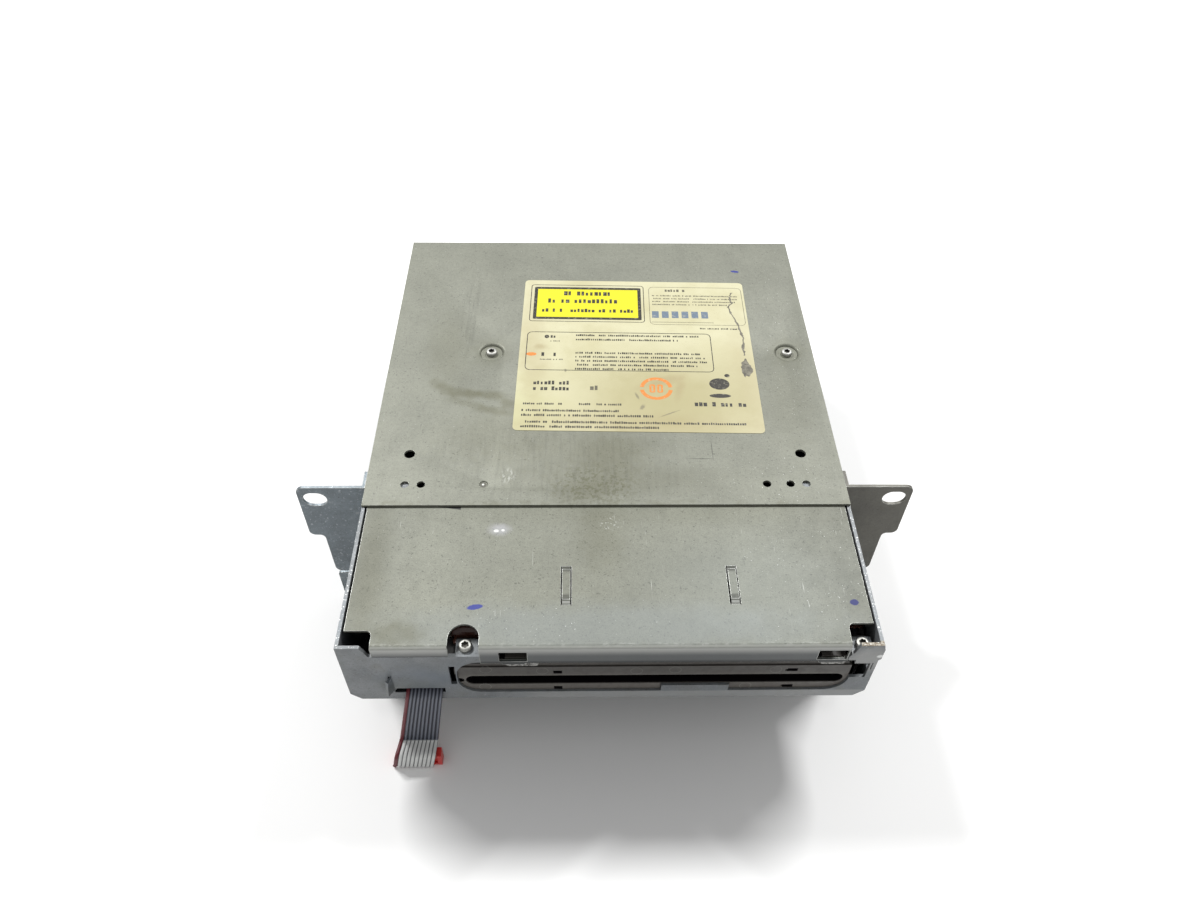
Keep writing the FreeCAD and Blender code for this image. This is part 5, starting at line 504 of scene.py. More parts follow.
def ribbon_vinyl():
    """Ten grey wires, the leftmost dark red; the strip carries wire number and ridge height as attributes. Painted
    shade darkens the grooves between the wires, and painted light lightens the lower part that turns to face up.
    """
    f = Finish("ribbon_vinyl", (0.019, 0.023, 0.036), 0.5)
    ridge = f.make("ShaderNodeAttribute", {"attribute_name": "ridge"}).outputs["Fac"]
    # Painted shade in the grooves: the base colour is dark and only the wire crests get the grey.
    f.tint(f.window(ridge, 0.80, 1.0), (0.125, 0.137, 0.170))
    across = f.make("ShaderNodeAttribute", {"attribute_name": "wire"}).outputs["Fac"]
    f.tint(f.window(across, 0.62, 0.38), (0.115, 0.010, 0.016))
    # Painted light on the lower part that turns to face up: crests painted light grey, grooves a lighter grey.
    turned = f.both(f.window(f.axis("Z"), 9.6 * MM, 9.0 * MM), f.window(across, 0.4, 0.6))
    f.tint(f.both(turned, f.window(ridge, 0.4, 0.9)), (0.72, 0.73, 0.71), 0.9)
    f.tint(f.both(turned, f.window(ridge, 0.7, 0.35)), (0.20, 0.205, 0.205), 0.85)
    f.relief(f.noise(0.3, 2), 0.006)
    return f.done()


finish["lens_glass"] = lens_glass()
finish["label_paper"] = label_vinyl()
finish["ribbon_vinyl"] = ribbon_vinyl()
finish["print_black"] = ink("black_print", (0.016, 0.014, 0.009), 0.3)
finish["print_grey"] = ink("grey_print", (0.10, 0.092, 0.06), 0.3)
finish["print_yellow"] = ink("yellow_print", (0.60, 0.56, 0.004), 0.0)
finish["print_orange"] = ink("orange_print", (0.56, 0.19, 0.03), 0.3)
finish["print_blue"] = ink("grey_blue_print", (0.11, 0.15, 0.20), 0.35)
finish["torn_vinyl"] = zinc("torn_vinyl", (0.20, 0.185, 0.14), 0.6, 0.0, specks=1.5, cloud=2.0, depth=0.4).done()

# Meshes


def shown(piece, body, slot_name, *nodes):
    """Puts a finished piece on its body, in place of these CAD nodes."""
    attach(piece, body)
    if nodes:
        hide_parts(*nodes)
    return piece


def new_piece(name, mesh, *materials):
    for material in materials:
        mesh.materials.append(material)
    piece = bpy.data.objects.new(name, mesh)
    bpy.context.scene.collection.objects.link(piece)
    return piece


def settled(piece):
    """The piece with its modifiers applied, as a plain mesh."""
    bpy.context.view_layer.update()
    graph = bpy.context.evaluated_depsgraph_get()
    mesh = bpy.data.meshes.new_from_object(piece.evaluated_get(graph), depsgraph=graph)
    old = piece.data
    piece.modifiers.clear()
    piece.data = mesh
    bpy.data.meshes.remove(old)
    return piece


def softened(piece, width, segments=2, angle=35.0, edge_slot=None):
    """Rounds the piece's edges and settles it as a plain mesh."""
    for face in piece.data.polygons:
        face.use_smooth = True
    bevel = piece.modifiers.new("edges", "BEVEL")
    bevel.width = width * MM
    bevel.segments = segments
    bevel.limit_method = "ANGLE"
    bevel.angle_limit = math.radians(angle)
    bevel.use_clamp_overlap = True
    bevel.harden_normals = True
    bevel.miter_outer = "MITER_ARC"
    if edge_slot is not None:
        bevel.material = edge_slot
    return settled(piece)


BODY_OF = {node: body for body, nodes in frame["record"]["behaviour"]["bodies"].items() for node in nodes}
SLOT_OF = {s["node"]: s["material_slot"] for s in frame["record"]["subparts"]}


def rounded_copy(node, width, material=None, edge=None, segments=2, angle=35.0, shape=None, joined_above=-1.0):
    """A copy of a CAD node with flat faces joined above a height and rounded edges, shown in the node's place."""
    work = bmesh.new()
    work.from_mesh(frame["nodes"][node].data)
    bmesh.ops.remove_doubles(work, verts=work.verts, dist=2e-6)
    if shape:
        shape(work)
    upper = [vert for vert in work.verts if vert.co.z > joined_above * MM]
    bmesh.ops.dissolve_limit(work, angle_limit=math.radians(0.5), verts=upper, edges=[
        edge for edge in work.edges if all(vert.co.z > joined_above * MM for vert in edge.verts)])
    mesh = bpy.data.meshes.new(node + "_mesh")
    work.to_mesh(mesh)
    work.free()
    if "custom_normal" in mesh.attributes:
        mesh.attributes.remove(mesh.attributes["custom_normal"])
    mesh.materials.clear()
    piece = new_piece(node + "_rounded", mesh, material or finish[SLOT_OF[node]], edge or finish["edge_wear_and_sheen"])
    for face in mesh.polygons:
        face.material_index = 0
    softened(piece, width, segments, angle, edge_slot=1)
    return shown(piece, BODY_OF[node], SLOT_OF[node], node)


# The ribbon cable, one strip of ten wires, and its connector

WIRE_COUNT = 10
WIRE_PITCH = 1.27
WIRE_RADIUS = 0.45
RIBBON_LEAN = 0.2
RIBBON_ROUTE = (
    (-83.45, 43.4), (-94.95, 43.4), (-109.45, 42.8), (-114.85, 42.7), (-115.05, 37.0), (-115.65, 25.5),
    (-115.25, 14.0), (-114.55, 8.75), (-117.85, 8.45), (-121.45, 8.45), (-121.55, 4.95), (-121.55, 0.3))
RIBBON_EXIT = (-64.0, 42.8)


def ribbon_route():
    """Control points in millimetres; the strip drifts sideways as it falls."""
    return [(RIBBON_EXIT[0] + RIBBON_LEAN * (z - RIBBON_EXIT[1]), y, z) for y, z in RIBBON_ROUTE]


def smooth_line(name, points):
    """The points of a NURBS spline that has these control points, in metres."""
    curve = bpy.data.curves.new(name, "CURVE")
    curve.dimensions = "3D"
    spline = curve.splines.new("NURBS")
    spline.points.add(len(points) - 1)
    for knot, point in zip(spline.points, points):
        knot.co = (*(c * MM for c in point), 1.0)
    spline.order_u = 3
    spline.use_endpoint_u = True
    spline.resolution_u = 10
    holder = bpy.data.objects.new(name, curve)
    bpy.context.scene.collection.objects.link(holder)
    bpy.context.view_layer.update()
    graph = bpy.context.evaluated_depsgraph_get()
    mesh = bpy.data.meshes.new_from_object(holder.evaluated_get(graph), depsgraph=graph)
    line = [v.co.copy() for v in mesh.vertices]
    bpy.data.objects.remove(holder)
    bpy.data.curves.remove(curve)
    bpy.data.meshes.remove(mesh)
    return line


def ribbon_section():
    """Outline of ten round wires side by side, as (across, up, wire) in millimetres, right way round."""
    arcs = []
    for i in range(WIRE_COUNT):
        middle = WIRE_PITCH * (i - (WIRE_COUNT - 1) / 2)
        arcs.append([(middle - WIRE_RADIUS * 1.38 * math.cos(a), WIRE_RADIUS * (0.28 + 0.72 * math.sin(a) ** 1.2), i)
                     for a in (math.radians(180 * k / 10) for k in range(11))])
    top = [point for arc in arcs for point in arc]
    bottom = [(x, -z, i) for x, z, i in reversed(top)]
    return top + bottom


def ribbon_cable():
    line = smooth_line("ribbon_line", ribbon_route())
    section = ribbon_section()
    count = len(section)
    verts, wires, ridges = [], [], []
    for k, here in enumerate(line):
        fall = min(1.0, max(0.0, (0.0428 - here.z) / 0.034))
        turned = min(1.0, max(0.0, (-0.1146 - here.y) / 0.007)) if here.z < 0.0095 else 0.0
        spread = 1.0 + 0.13 * fall + 0.06 * turned
        here = here + Vector((0.75 * MM * fall * (1.0 - turned), 0, 0))
        ahead = line[min(k + 1, len(line) - 1)] - line[max(k - 1, 0)]
        run = Vector((0, ahead.y, ahead.z)).normalized()
        up = Vector((0, -run.z, run.y))
        for across, rise, wire in section:
            lean = RIBBON_LEAN * rise * MM * up.z
            place = here + Vector((across * spread * MM + lean, 0, 0)) + up * rise * MM
            if k == len(line) - 1:
                place.z += 0.0014 * (1.0 - abs(rise) / WIRE_RADIUS)
            verts.append(place)
            wires.append(float(wire))
            ridges.append(abs(rise) / WIRE_RADIUS)
    faces = [
        (k * count + i, (k + 1) * count + i, (k + 1) * count + (i + 1) % count, k * count + (i + 1) % count)
        for k in range(len(line) - 1) for i in range(count)
    ]
    faces.append(tuple(range(count)))
    faces.append(tuple(reversed(range((len(line) - 1) * count, len(line) * count))))
    mesh = bpy.data.meshes.new("ribbon_cable_strip")
    mesh.from_pydata(verts, [], faces)
    for name, values in (("wire", wires), ("ridge", ridges)):
        mesh.attributes.new(name, "FLOAT", "POINT").data.foreach_set("value", values)
    mesh.shade_smooth()
    mesh.set_sharp_from_angle(angle=math.radians(60))
    strip = shown(new_piece("ribbon_cable_strip", mesh, finish["ribbon_vinyl"]), "body", "ribbon_vinyl", "ribbon_cable")
    return strip, line


def add_block(work, x0, x1, y0, y1, z0, z1):
    """One closed block in millimetres, added to a mesh in the making."""
    corners = bmesh.ops.create_cube(work, size=1.0)["verts"]
    size = Vector((x1 - x0, y1 - y0, z1 - z0)) * MM
    middle = Vector((x0 + x1, y0 + y1, z0 + z1)) * MM / 2
    for corner in corners:
        corner.co = Vector(c * s for c, s in zip(corner.co, size)) + middle


def ribbon_connector():
    """Red clamp connector: body and clamping cover with a seam, end latches, a coding nose and a cut-out end."""
    x0, x1, y0, y1 = -77.6, -61.6, -120.95, -115.25
    work = bmesh.new()
    add_block(work, x0, x1 - 4.0, y0 + 0.9, y1, 0.0, 5.2)
    add_block(work, x0 + 0.5, x1 - 4.4, y0 + 1.3, y1 - 0.6, 5.0, 5.7)
    add_block(work, x0, x1 - 4.0, y0 + 0.5, y1 - 1.2, 5.45, 7.4)
    add_block(work, x0, -64.5, y0, y0 + 1.1, 0.0, 5.2)
    add_block(work, x1 - 1.6, x1, y0, y1 - 2.0, 0.0, 7.2)
    add_block(work, x1 - 4.1, x1 - 1.5, y0 + 0.9, y1 - 2.0, 0.0, 7.2)
    add_block(work, -64.6, x1 - 0.2, y0 + 0.1, y0 + 1.1, 0.0, 1.2)
    add_block(work, x0, x0 + 1.0, y1 - 1.6, y1 - 0.2, 5.2, 7.9)
    add_block(work, -71.6, -67.6, y1 - 0.4, y1 + 0.9, 1.5, 5.0)
    mesh = bpy.data.meshes.new("ribbon_connector_body")
    work.to_mesh(mesh)
    work.free()
    piece = softened(new_piece("ribbon_connector_body", mesh, finish["connector_red"]), 0.14)
    return shown(piece, "body", "connector_red", "ribbon_connector")


strip, ribbon_line = ribbon_cable()
connector = ribbon_connector()

# Screws


class Recipe(Graph):
    """A Geometry Nodes tree with named inputs, used once for each set of pieces and then settled."""

    def __init__(self, name):
        self.tree = bpy.data.node_groups.new(name, "GeometryNodeTree")
        for way in ("INPUT", "OUTPUT"):
            self.tree.interface.new_socket("Geometry", in_out=way, socket_type="NodeSocketGeometry")
        self.inside = self.tree.nodes.new("NodeGroupInput")
        self.outside = self.tree.nodes.new("NodeGroupOutput")
        self.base = self.inside.outputs["Geometry"]

    def knob(self, name, kind="Float", value=None):
        socket = self.tree.interface.new_socket(name, in_out="INPUT", socket_type="NodeSocket" + kind)
        if value is not None:
            socket.default_value = value
        return self.inside.outputs[name]

    def choose(self, switch, off, on):
        return self.make("GeometryNodeSwitch", {"input_type": "FLOAT"}, Switch=switch, **{"False": off, "True": on}).outputs[0]

    def above(self, a, b):
        return self.make("FunctionNodeCompare", {"data_type": "FLOAT", "operation": "GREATER_THAN"}, A=a, B=b).outputs[0]

    def vector(self, x, y, z):
        return self.make("ShaderNodeCombineXYZ", X=x, Y=y, Z=z).outputs[0]

    def close(self, geometry):
        """Ends the tree: instances made real, then the material."""
        material = self.knob("Material", "Material")
        real = self.make("GeometryNodeRealizeInstances", Geometry=geometry).outputs[0]
        dressed = self.make("GeometryNodeSetMaterial", Geometry=real, Material=material).outputs[0]
        self.feed(self.outside.inputs["Geometry"], dressed)

    def made(self, name, mesh, settings):
        """The settled piece that this tree makes from a base mesh and values for its named inputs."""
        piece = new_piece(name, mesh)
        modifier = piece.modifiers.new("recipe", "NODES")
        modifier.node_group = self.tree
        for item in self.tree.interface.items_tree:
            if item.item_type == "SOCKET" and item.in_out == "INPUT" and item.name in settings:
                modifier[item.identifier] = settings[item.name]
        return settled(piece)


def screw_recipe():
    """Pan head screws with a lobed recess, one on each point of the base mesh, facing along its 'way'."""
    r = Recipe("pan_head_screws")
    head, height = r.knob("Head Radius"), r.knob("Head Height")
    shank, length = r.knob("Shank Radius"), r.knob("Length")
    recess, depth = r.knob("Recess Radius"), r.knob("Recess Depth")
    lobes, seed = r.knob("Lobes", "Int", 6), r.knob("Seed", "Int", 1)
    rings = 6
    disc = r.make("GeometryNodeMeshCylinder", {"fill_type": "TRIANGLE_FAN"}, {
        "Vertices": 36, "Side Segments": 1, "Fill Segments": rings, "Radius": head, "Depth": height}).outputs["Mesh"]
    place = r.make("GeometryNodeInputPosition").outputs[0]
    xyz = r.make("ShaderNodeSeparateXYZ", Vector=place)
    flat = r.vector(xyz.outputs["X"], xyz.outputs["Y"], 0.0)
    far = r.make("ShaderNodeVectorMath", {"operation": "LENGTH"}, {0: flat}).outputs["Value"]
    outward = r.make("ShaderNodeVectorMath", {"operation": "NORMALIZE"}, {0: flat}).outputs["Vector"]
    share = r.math("DIVIDE", far, head)
    on_top = r.above(xyz.outputs["Z"], 0.0)
    dome = r.make("ShaderNodeFloatCurve", Value=share)
    fill_curve(dome, ((0.0, 0.99), (0.333, 0.985), (0.5, 0.96), (0.667, 0.89), (0.833, 0.74), (1.0, 0.45)))
    reach = r.make("ShaderNodeFloatCurve", Value=share)
    fill_curve(reach, ((0.0, 0.0), (0.333, 0.47), (0.5, 0.67), (0.667, 0.85), (0.833, 0.96), (1.0, 1.0)))
    angle = r.math("ARCTAN2", xyz.outputs["Y"], xyz.outputs["X"])
    wave = r.math("COSINE", r.math("MULTIPLY", angle, lobes))
    lobed = r.math("MULTIPLY", recess, r.math("ADD", 0.86, r.math("MULTIPLY", wave, 0.15)))
    wall = r.math("MULTIPLY", lobed, r.math("ADD", 0.84, r.math("MULTIPLY", share, 0.48)))
    outer_radius = r.math("MULTIPLY", head, reach.outputs[0])
    beyond_recess = r.above(share, 0.42)
    top_radius = r.choose(beyond_recess, wall, outer_radius)
    floor_z = r.math("SUBTRACT", height, depth)
    dome_z = r.math("MULTIPLY", height, dome.outputs[0])
    top_z = r.choose(r.above(share, 0.25), floor_z, dome_z)
    radius = r.choose(on_top, far, top_radius)
    scaled = r.make("ShaderNodeVectorMath", {"operation": "SCALE"}, {0: outward, "Scale": radius}).outputs["Vector"]
    lifted = r.make("ShaderNodeVectorMath", {"operation": "ADD"},
                    {0: scaled, 1: r.vector(0.0, 0.0, r.choose(on_top, 0.0, top_z))}).outputs["Vector"]
    hollow = r.choose(on_top, 0.0, r.choose(beyond_recess, 1.0, 0.0))
    stored = r.make("GeometryNodeStoreNamedAttribute", {"data_type": "FLOAT", "domain": "POINT"}, Geometry=disc,
                    Name="recess", Value=hollow).outputs[0]
    cap = r.make("GeometryNodeSetPosition", Geometry=stored, Position=lifted).outputs[0]
    pin = r.make("GeometryNodeMeshCylinder", {"fill_type": "NGON"}, {
        "Vertices": 20, "Radius": shank, "Depth": length}).outputs["Mesh"]
    sunk = r.make("GeometryNodeTransform", Geometry=pin,
                  Translation=r.vector(0.0, 0.0, r.math("MULTIPLY", length, -0.5))).outputs[0]
    whole = r.make("GeometryNodeJoinGeometry")
    r.feed(whole.inputs[0], cap)
    r.feed(whole.inputs[0], sunk)
    way = r.make("GeometryNodeInputNamedAttribute", {"data_type": "FLOAT_VECTOR"}, Name="way").outputs[0]
    facing = r.make("FunctionNodeAlignRotationToVector", {"axis": "Z"}, Vector=way).outputs[0]
    turn = r.make("FunctionNodeRandomValue", {"data_type": "FLOAT"})
    for socket in turn.inputs:
        if socket.enabled and socket.name == "Max":
            socket.default_value = math.tau
        if socket.name == "Seed":
            r.feed(socket, seed)
    drawn = next(socket for socket in turn.outputs if socket.enabled)
    spin = r.make("FunctionNodeAxisAngleToRotation", Axis=(0.0, 0.0, 1.0), Angle=drawn).outputs[0]
    spun = r.make("FunctionNodeRotateRotation", {"rotation_space": "LOCAL"},
                  {"Rotation": facing, "Rotate By": spin}).outputs[0]
    points = r.make("GeometryNodeMeshToPoints", Mesh=r.base).outputs[0]
    screws = r.make("GeometryNodeInstanceOnPoints", Points=points, Instance=whole.outputs[0], Rotation=spun).outputs[0]
    r.close(screws)
    return r


def fill_curve(node, points):
    """Straight-line values of a Float Curve node."""
    curve = node.mapping.curves[0]
    curve.points[0].location = points[0]
    curve.points[1].location = points[-1]
    for point in points[1:-1]:
        curve.points.new(*point)
    for knot in curve.points:
        knot.handle_type = "VECTOR"
    node.mapping.update()


def seats_mesh(name, seats):
    """Points under the screws' heads, each with the way its head faces."""
    mesh = bpy.data.meshes.new(name)
    mesh.from_pydata([tuple(c * MM for c in place) for place, _ in seats], [], [])
    way = mesh.attributes.new("way", "FLOAT_VECTOR", "POINT")
    way.data.foreach_set("vector", [c for _, facing in seats for c in facing])
    return mesh


UP, BACK = (0, 0, 1), (0, 1, 0)
SIDE_PLACES = ((-72.95, 5.0), (7.05, 5.0), (87.05, 5.0), (-67.95, 33.0), (25.05, 33.0))
SCREW_SEATS = {
    "cover_screws": ([((-47.6, 29.65, 71.0), UP), ((79.0, 29.65, 71.0), UP),
                      ((-55.0, 108.55, 67.0), BACK), ((15.0, 108.55, 67.0), BACK)], 3.6),
    "front_screws": ([((-48.2, -109.35, 65.6), UP), ((84.2, -109.35, 65.6), UP)], 2.6),
    "side_screws": ([((side * 90.0, y, z), (side, 0, 0)) for side in (-1, 1) for y, z in SIDE_PLACES], 3.6),
    "bracket_screws": ([((side * 91.2, -29.95, z), (side, 0, 0)) for side in (-1, 1) for z in (54.0, 24.0, 13.0)], 3.6),
    "panel_screws": ([((side * 84.8, 107.55, z), BACK) for side in (-1, 1) for z in (10.0, 58.0)], 3.6),
    "fan_screws": ([((54.0 + a, 107.55, 43.5 + b), BACK) for a in (-16.0, 16.0) for b in (-16.0, 16.0)], 8.0),
}


def screws():
    recipe = screw_recipe()
    for count, (node, (seats, length)) in enumerate(SCREW_SEATS.items()):
        piece = recipe.made(node + "_turned", seats_mesh(node + "_turned", seats), {
            "Head Radius": 2.3 * MM, "Head Height": 1.7 * MM, "Shank Radius": 1.5 * MM, "Length": length * MM,
            "Recess Radius": 1.25 * MM, "Recess Depth": 0.95 * MM, "Lobes": 6, "Seed": 11 + count,
            "Material": finish["zinc_screws"]})
        piece.data.shade_smooth()
        piece.data.set_sharp_from_angle(angle=math.radians(38))
        shown(piece, "body", "zinc_screws", node)


screws()

# The label and its print

LABEL_MIDDLE = Vector((14.2 * MM, 30.35 * MM, 0))
LABEL_TURN = -1.1
LABEL_HALF = (50.0, 47.8)


def on_label(lift):
    """From label millimetres, u to the right and v to the back, to the row frame."""
    return (Matrix.Translation(LABEL_MIDDLE + Vector((0, 0, (TOP_Z + lift) * MM)))
            @ Matrix.Rotation(math.radians(LABEL_TURN), 4, "Z") @ Matrix.Diagonal((MM, MM, MM, 1)))


def label_sheet():
    """Rounded vinyl sheet whose top face is drawn in a little at its rim."""
    rim = []
    radius = 2.0
    for cu, cv, first in ((1, 1, 0), (-1, 1, 90), (-1, -1, 180), (1, -1, 270)):
        for k in range(7):
            a = math.radians(first + 15 * k)
            rim.append((cu * (LABEL_HALF[0] - radius) + radius * math.cos(a),
                        cv * (LABEL_HALF[1] - radius) + radius * math.sin(a)))
    work = bmesh.new()
    low = [work.verts.new((u, v, 0.0)) for u, v in rim]
    high = [work.verts.new((u, v, 0.15)) for u, v in rim]
    top = [work.verts.new((u * 0.997, v * 0.997, 0.17)) for u, v in rim]
    work.faces.new(list(reversed(low)))
    work.faces.new(top)
    for a, b in ((low, high), (high, top)):
        for i in range(len(rim)):
            j = (i + 1) % len(rim)
            work.faces.new((a[i], a[j], b[j], b[i]))
    mesh = bpy.data.meshes.new("label_sheet")
    work.to_mesh(mesh)
    work.free()
    mesh.transform(on_label(0.0))
    return shown(new_piece("label_sheet", mesh, finish["label_paper"]), "body", "label_paper", "rating_label")


def print_recipe():
    """A line of small blocks of uneven width with gaps, standing for a line of small print."""
    r = Recipe("printed_line")
    length, cell, height = r.knob("Length"), r.knob("Cell"), r.knob("Height")
    filled, seed = r.knob("Filled", value=0.84), r.knob("Seed", "Int", 1)
    count = r.math("DIVIDE", length, cell)
    line = r.make("GeometryNodeMeshLine", {"mode": "OFFSET"}, Count=count, Offset=r.vector(cell, 0.0, 0.0)).outputs[0]
    points = r.make("GeometryNodeMeshToPoints", Mesh=line).outputs[0]

    def drawn(low, high, shift):
        node = r.make("FunctionNodeRandomValue", {"data_type": "FLOAT"})
        for socket in node.inputs:
            if socket.enabled and socket.name in ("Min", "Max"):
                socket.default_value = low if socket.name == "Min" else high
            if socket.name == "Seed":
                r.feed(socket, r.math("ADD", seed, shift))
        return next(socket for socket in node.outputs if socket.enabled)

    kept = r.make("GeometryNodeDeleteGeometry", {"domain": "POINT"}, Geometry=points,
                  Selection=r.above(drawn(0.0, 1.0, 0.0), filled)).outputs[0]
    block = r.make("GeometryNodeMeshGrid", {}, {"Size X": 1.0, "Size Y": 1.0, "Vertices X": 2, "Vertices Y": 2}).outputs[0]
    corner = r.make("GeometryNodeTransform", Geometry=block, Translation=(0.5, 0.5, 0.0)).outputs[0]
    size = r.vector(r.math("MULTIPLY", cell, drawn(0.5, 0.86, 7.0)), r.math("MULTIPLY", height, drawn(0.66, 1.0, 13.0)), 1.0)
    r.close(r.make("GeometryNodeInstanceOnPoints", Points=kept, Instance=corner, Scale=size).outputs[0])
    return r


# Lines of print: left end, baseline, length, height of the blocks, ink
PRINTED_LINES = (
    (-34.0, 37.0, 26.0, 3.0, "print_black"), (-41.0, 31.6, 41.0, 3.0, "print_black"),
    (-41.5, 25.2, 41.5, 2.4, "print_black"),
    (14.0, 40.6, 9.5, 2.0, "print_grey"), (8.0, 37.3, 39.0, 0.95, "print_grey"), (8.0, 35.2, 39.5, 0.95, "print_grey"),
    (8.0, 33.1, 38.0, 0.95, "print_grey"), (8.0, 31.0, 34.0, 0.95, "print_grey"), (28.4, 14.6, 17.0, 1.0, "print_black"),
    (-39.5, 7.6, 10.0, 1.9, "print_black"), (-37.0, 5.2, 5.5, 0.8, "print_grey"),
    (-26.0, 9.0, 54.0, 1.25, "print_black"), (-26.0, 6.2, 45.0, 1.25, "print_black"),
    (-40.5, -4.2, 9.5, 2.6, "print_black"), (-41.0, -6.6, 10.5, 0.8, "print_grey"),
    (-26.0, -2.4, 54.0, 1.25, "print_black"), (-26.0, -4.9, 56.0, 1.25, "print_black"),
    (-26.0, -7.4, 56.5, 1.25, "print_black"), (-26.0, -9.9, 52.0, 1.25, "print_black"),
    (-26.0, -12.4, 40.0, 1.25, "print_black"),
    (-43.0, -21.6, 16.0, 2.3, "print_black"), (-43.0, -25.0, 16.0, 2.3, "print_black"),
    (-21.5, -24.6, 9.5, 2.9, "print_grey"),
    (23.0, -33.2, 21.7, 2.7, "print_black"),
    (-46.6, -33.4, 16.5, 1.2, "print_black"), (-24.0, -33.4, 17.5, 1.2, "print_black"),
    (-47.0, -37.2, 40.0, 1.3, "print_black"), (-47.0, -39.9, 54.0, 1.3, "print_black"),
    (-47.0, -43.6, 90.5, 1.35, "print_black"), (-47.0, -46.2, 55.5, 1.35, "print_black"))


def frame_ring(work, u0, u1, v0, v1, width, corner=0.0):
    """Flat ruled frame, outer size given, with rounded corners."""
    def loop(inset):
        reach = max(corner - inset, 0.02)
        points = []
        for cu, cv, first in ((1, 1, 0), (0, 1, 90), (0, 0, 180), (1, 0, 270)):
            mu = u1 - inset - reach if cu else u0 + inset + reach
            mv = v1 - inset - reach if cv else v0 + inset + reach
            points += [(mu + reach * math.cos(math.radians(first + 30 * k)),
                        mv + reach * math.sin(math.radians(first + 30 * k))) for k in range(4)]
        return [work.verts.new((u, v, 0.0)) for u, v in points]
    outer, inner = loop(0.0), loop(width)
    for i in range(len(outer)):
        j = (i + 1) % len(outer)
        work.faces.new((outer[i], outer[j], inner[j], inner[i]))


def flat_disc(work, u, v, reach_u, reach_v, hole=0.0, start=0.0, end=360.0, steps=40):
    """Flat ellipse, ring or part of a ring."""
    angles = [math.radians(start + (end - start) * k / steps) for k in range(steps + 1)]
    rim = [work.verts.new((u + reach_u * math.cos(a), v + reach_v * math.sin(a), 0.0)) for a in angles]
    core = [work.verts.new((u + hole * reach_u * math.cos(a), v + hole * reach_v * math.sin(a), 0.0)) for a in angles] \
        if hole else [work.verts.new((u, v, 0.0))] * len(rim)
    for k in range(steps):
        if hole:
            work.faces.new((core[k], rim[k], rim[k + 1], core[k + 1]))
        else:
            work.faces.new((core[0], rim[k], rim[k + 1]))


def label_print():
    """All print on the label: yellow panel, ruled boxes, lines of blocks, an orange ring and dark discs."""
    recipe = print_recipe()
    parts = []
    for count, (u, v, length, height, colour) in enumerate(PRINTED_LINES):
        piece = recipe.made("printed_line", bpy.data.meshes.new("printed_line"), {
            "Length": length, "Cell": max(0.62, 0.66 * height), "Height": height, "Filled": 0.86, "Seed": 40 + 5 * count,
            "Material": finish[colour]})
        piece.data.transform(Matrix.Translation((u, v, 0.012)))
        parts.append(piece)

    def flat(colour, lift, draw):
        work = bmesh.new()
        draw(work)
        bmesh.ops.recalc_face_normals(work, faces=work.faces)
        for face in work.faces:
            if face.normal.z < 0:
                face.normal_flip()
        mesh = bpy.data.meshes.new("printed_shape")
        work.to_mesh(mesh)
        work.free()
        mesh.transform(Matrix.Translation((0, 0, lift)))
        parts.append(new_piece("printed_shape", mesh, finish[colour]))

    def panel(work):
        work.faces.new([work.verts.new(p) for p in (
            (-44.6, 21.0, 0), (2.1, 21.0, 0), (2.1, 42.1, 0), (-44.6, 42.1, 0))])

    def rules(work):
        frame_ring(work, 6.5, 49.0, 17.4, 44.0, 0.22, 2.2)
        frame_ring(work, 7.3, 34.7, 18.9, 19.3, 0.12)

    def dark(work):
        frame_ring(work, -47.0, 4.3, 18.6, 44.6, 0.34, 1.4)
        frame_ring(work, -45.4, 2.9, 20.2, 42.9, 1.5, 0.6)
        frame_ring(work, -47.2, 32.6, -13.0, 11.6, 0.36, 2.2)
        flat_disc(work, 34.0, -20.0, 4.2, 3.4)
        flat_disc(work, 33.8, -27.0, 4.4, 1.2)
        flat_disc(work, 37.6, -14.9, 1.1, 1.0)
        flat_disc(work, -38.6, 8.4, 1.0, 1.1, 0.0)

    def blue(work):
        for u in range(6):
            u0 = 7.6 + 4.4 * u
            work.faces.new([work.verts.new(p) for p in (
                (u0, 22.0, 0), (u0 + 3.0, 22.0, 0), (u0 + 3.0, 26.6, 0), (u0, 26.6, 0))])

    def orange(work):
        flat_disc(work, 7.7, -23.2, 6.8, 6.6, 0.76, 8, 172)
        flat_disc(work, 7.7, -23.2, 6.8, 6.6, 0.76, 188, 352)
        frame_ring(work, 4.9, 7.3, -25.6, -20.8, 0.8, 0.7)
        frame_ring(work, 8.1, 10.5, -25.6, -20.8, 0.8, 0.7)
        flat_disc(work, -44.8, -3.0, 2.2, 1.1, 0.0)

    flat("print_yellow", 0.004, panel)
    flat("print_grey", 0.008, rules)
    flat("print_black", 0.010, dark)
    flat("print_blue", 0.009, blue)
    flat("print_orange", 0.009, orange)
    return shown(merged("label_print", parts, on_label(0.172)), "body", "label_paper")


def merged(name, parts, place):
    """One piece from several, with their materials kept."""
    materials = []
    work = bmesh.new()
    for part in parts:
        start = len(work.faces)
        work.from_mesh(part.data)
        work.faces.ensure_lookup_table()
        own = [m for m in part.data.materials if m]
        for material in own:
            if material not in materials:
                materials.append(material)
        for face in work.faces[start:]:
            face.material_index = materials.index(own[min(face.material_index, len(own) - 1)])
    for part in parts:
        mesh = part.data
        bpy.data.objects.remove(part)
        bpy.data.meshes.remove(mesh)
    mesh = bpy.data.meshes.new(name)
    work.to_mesh(mesh)
    work.free()
    mesh.transform(place)
    return new_piece(name, mesh, *materials)


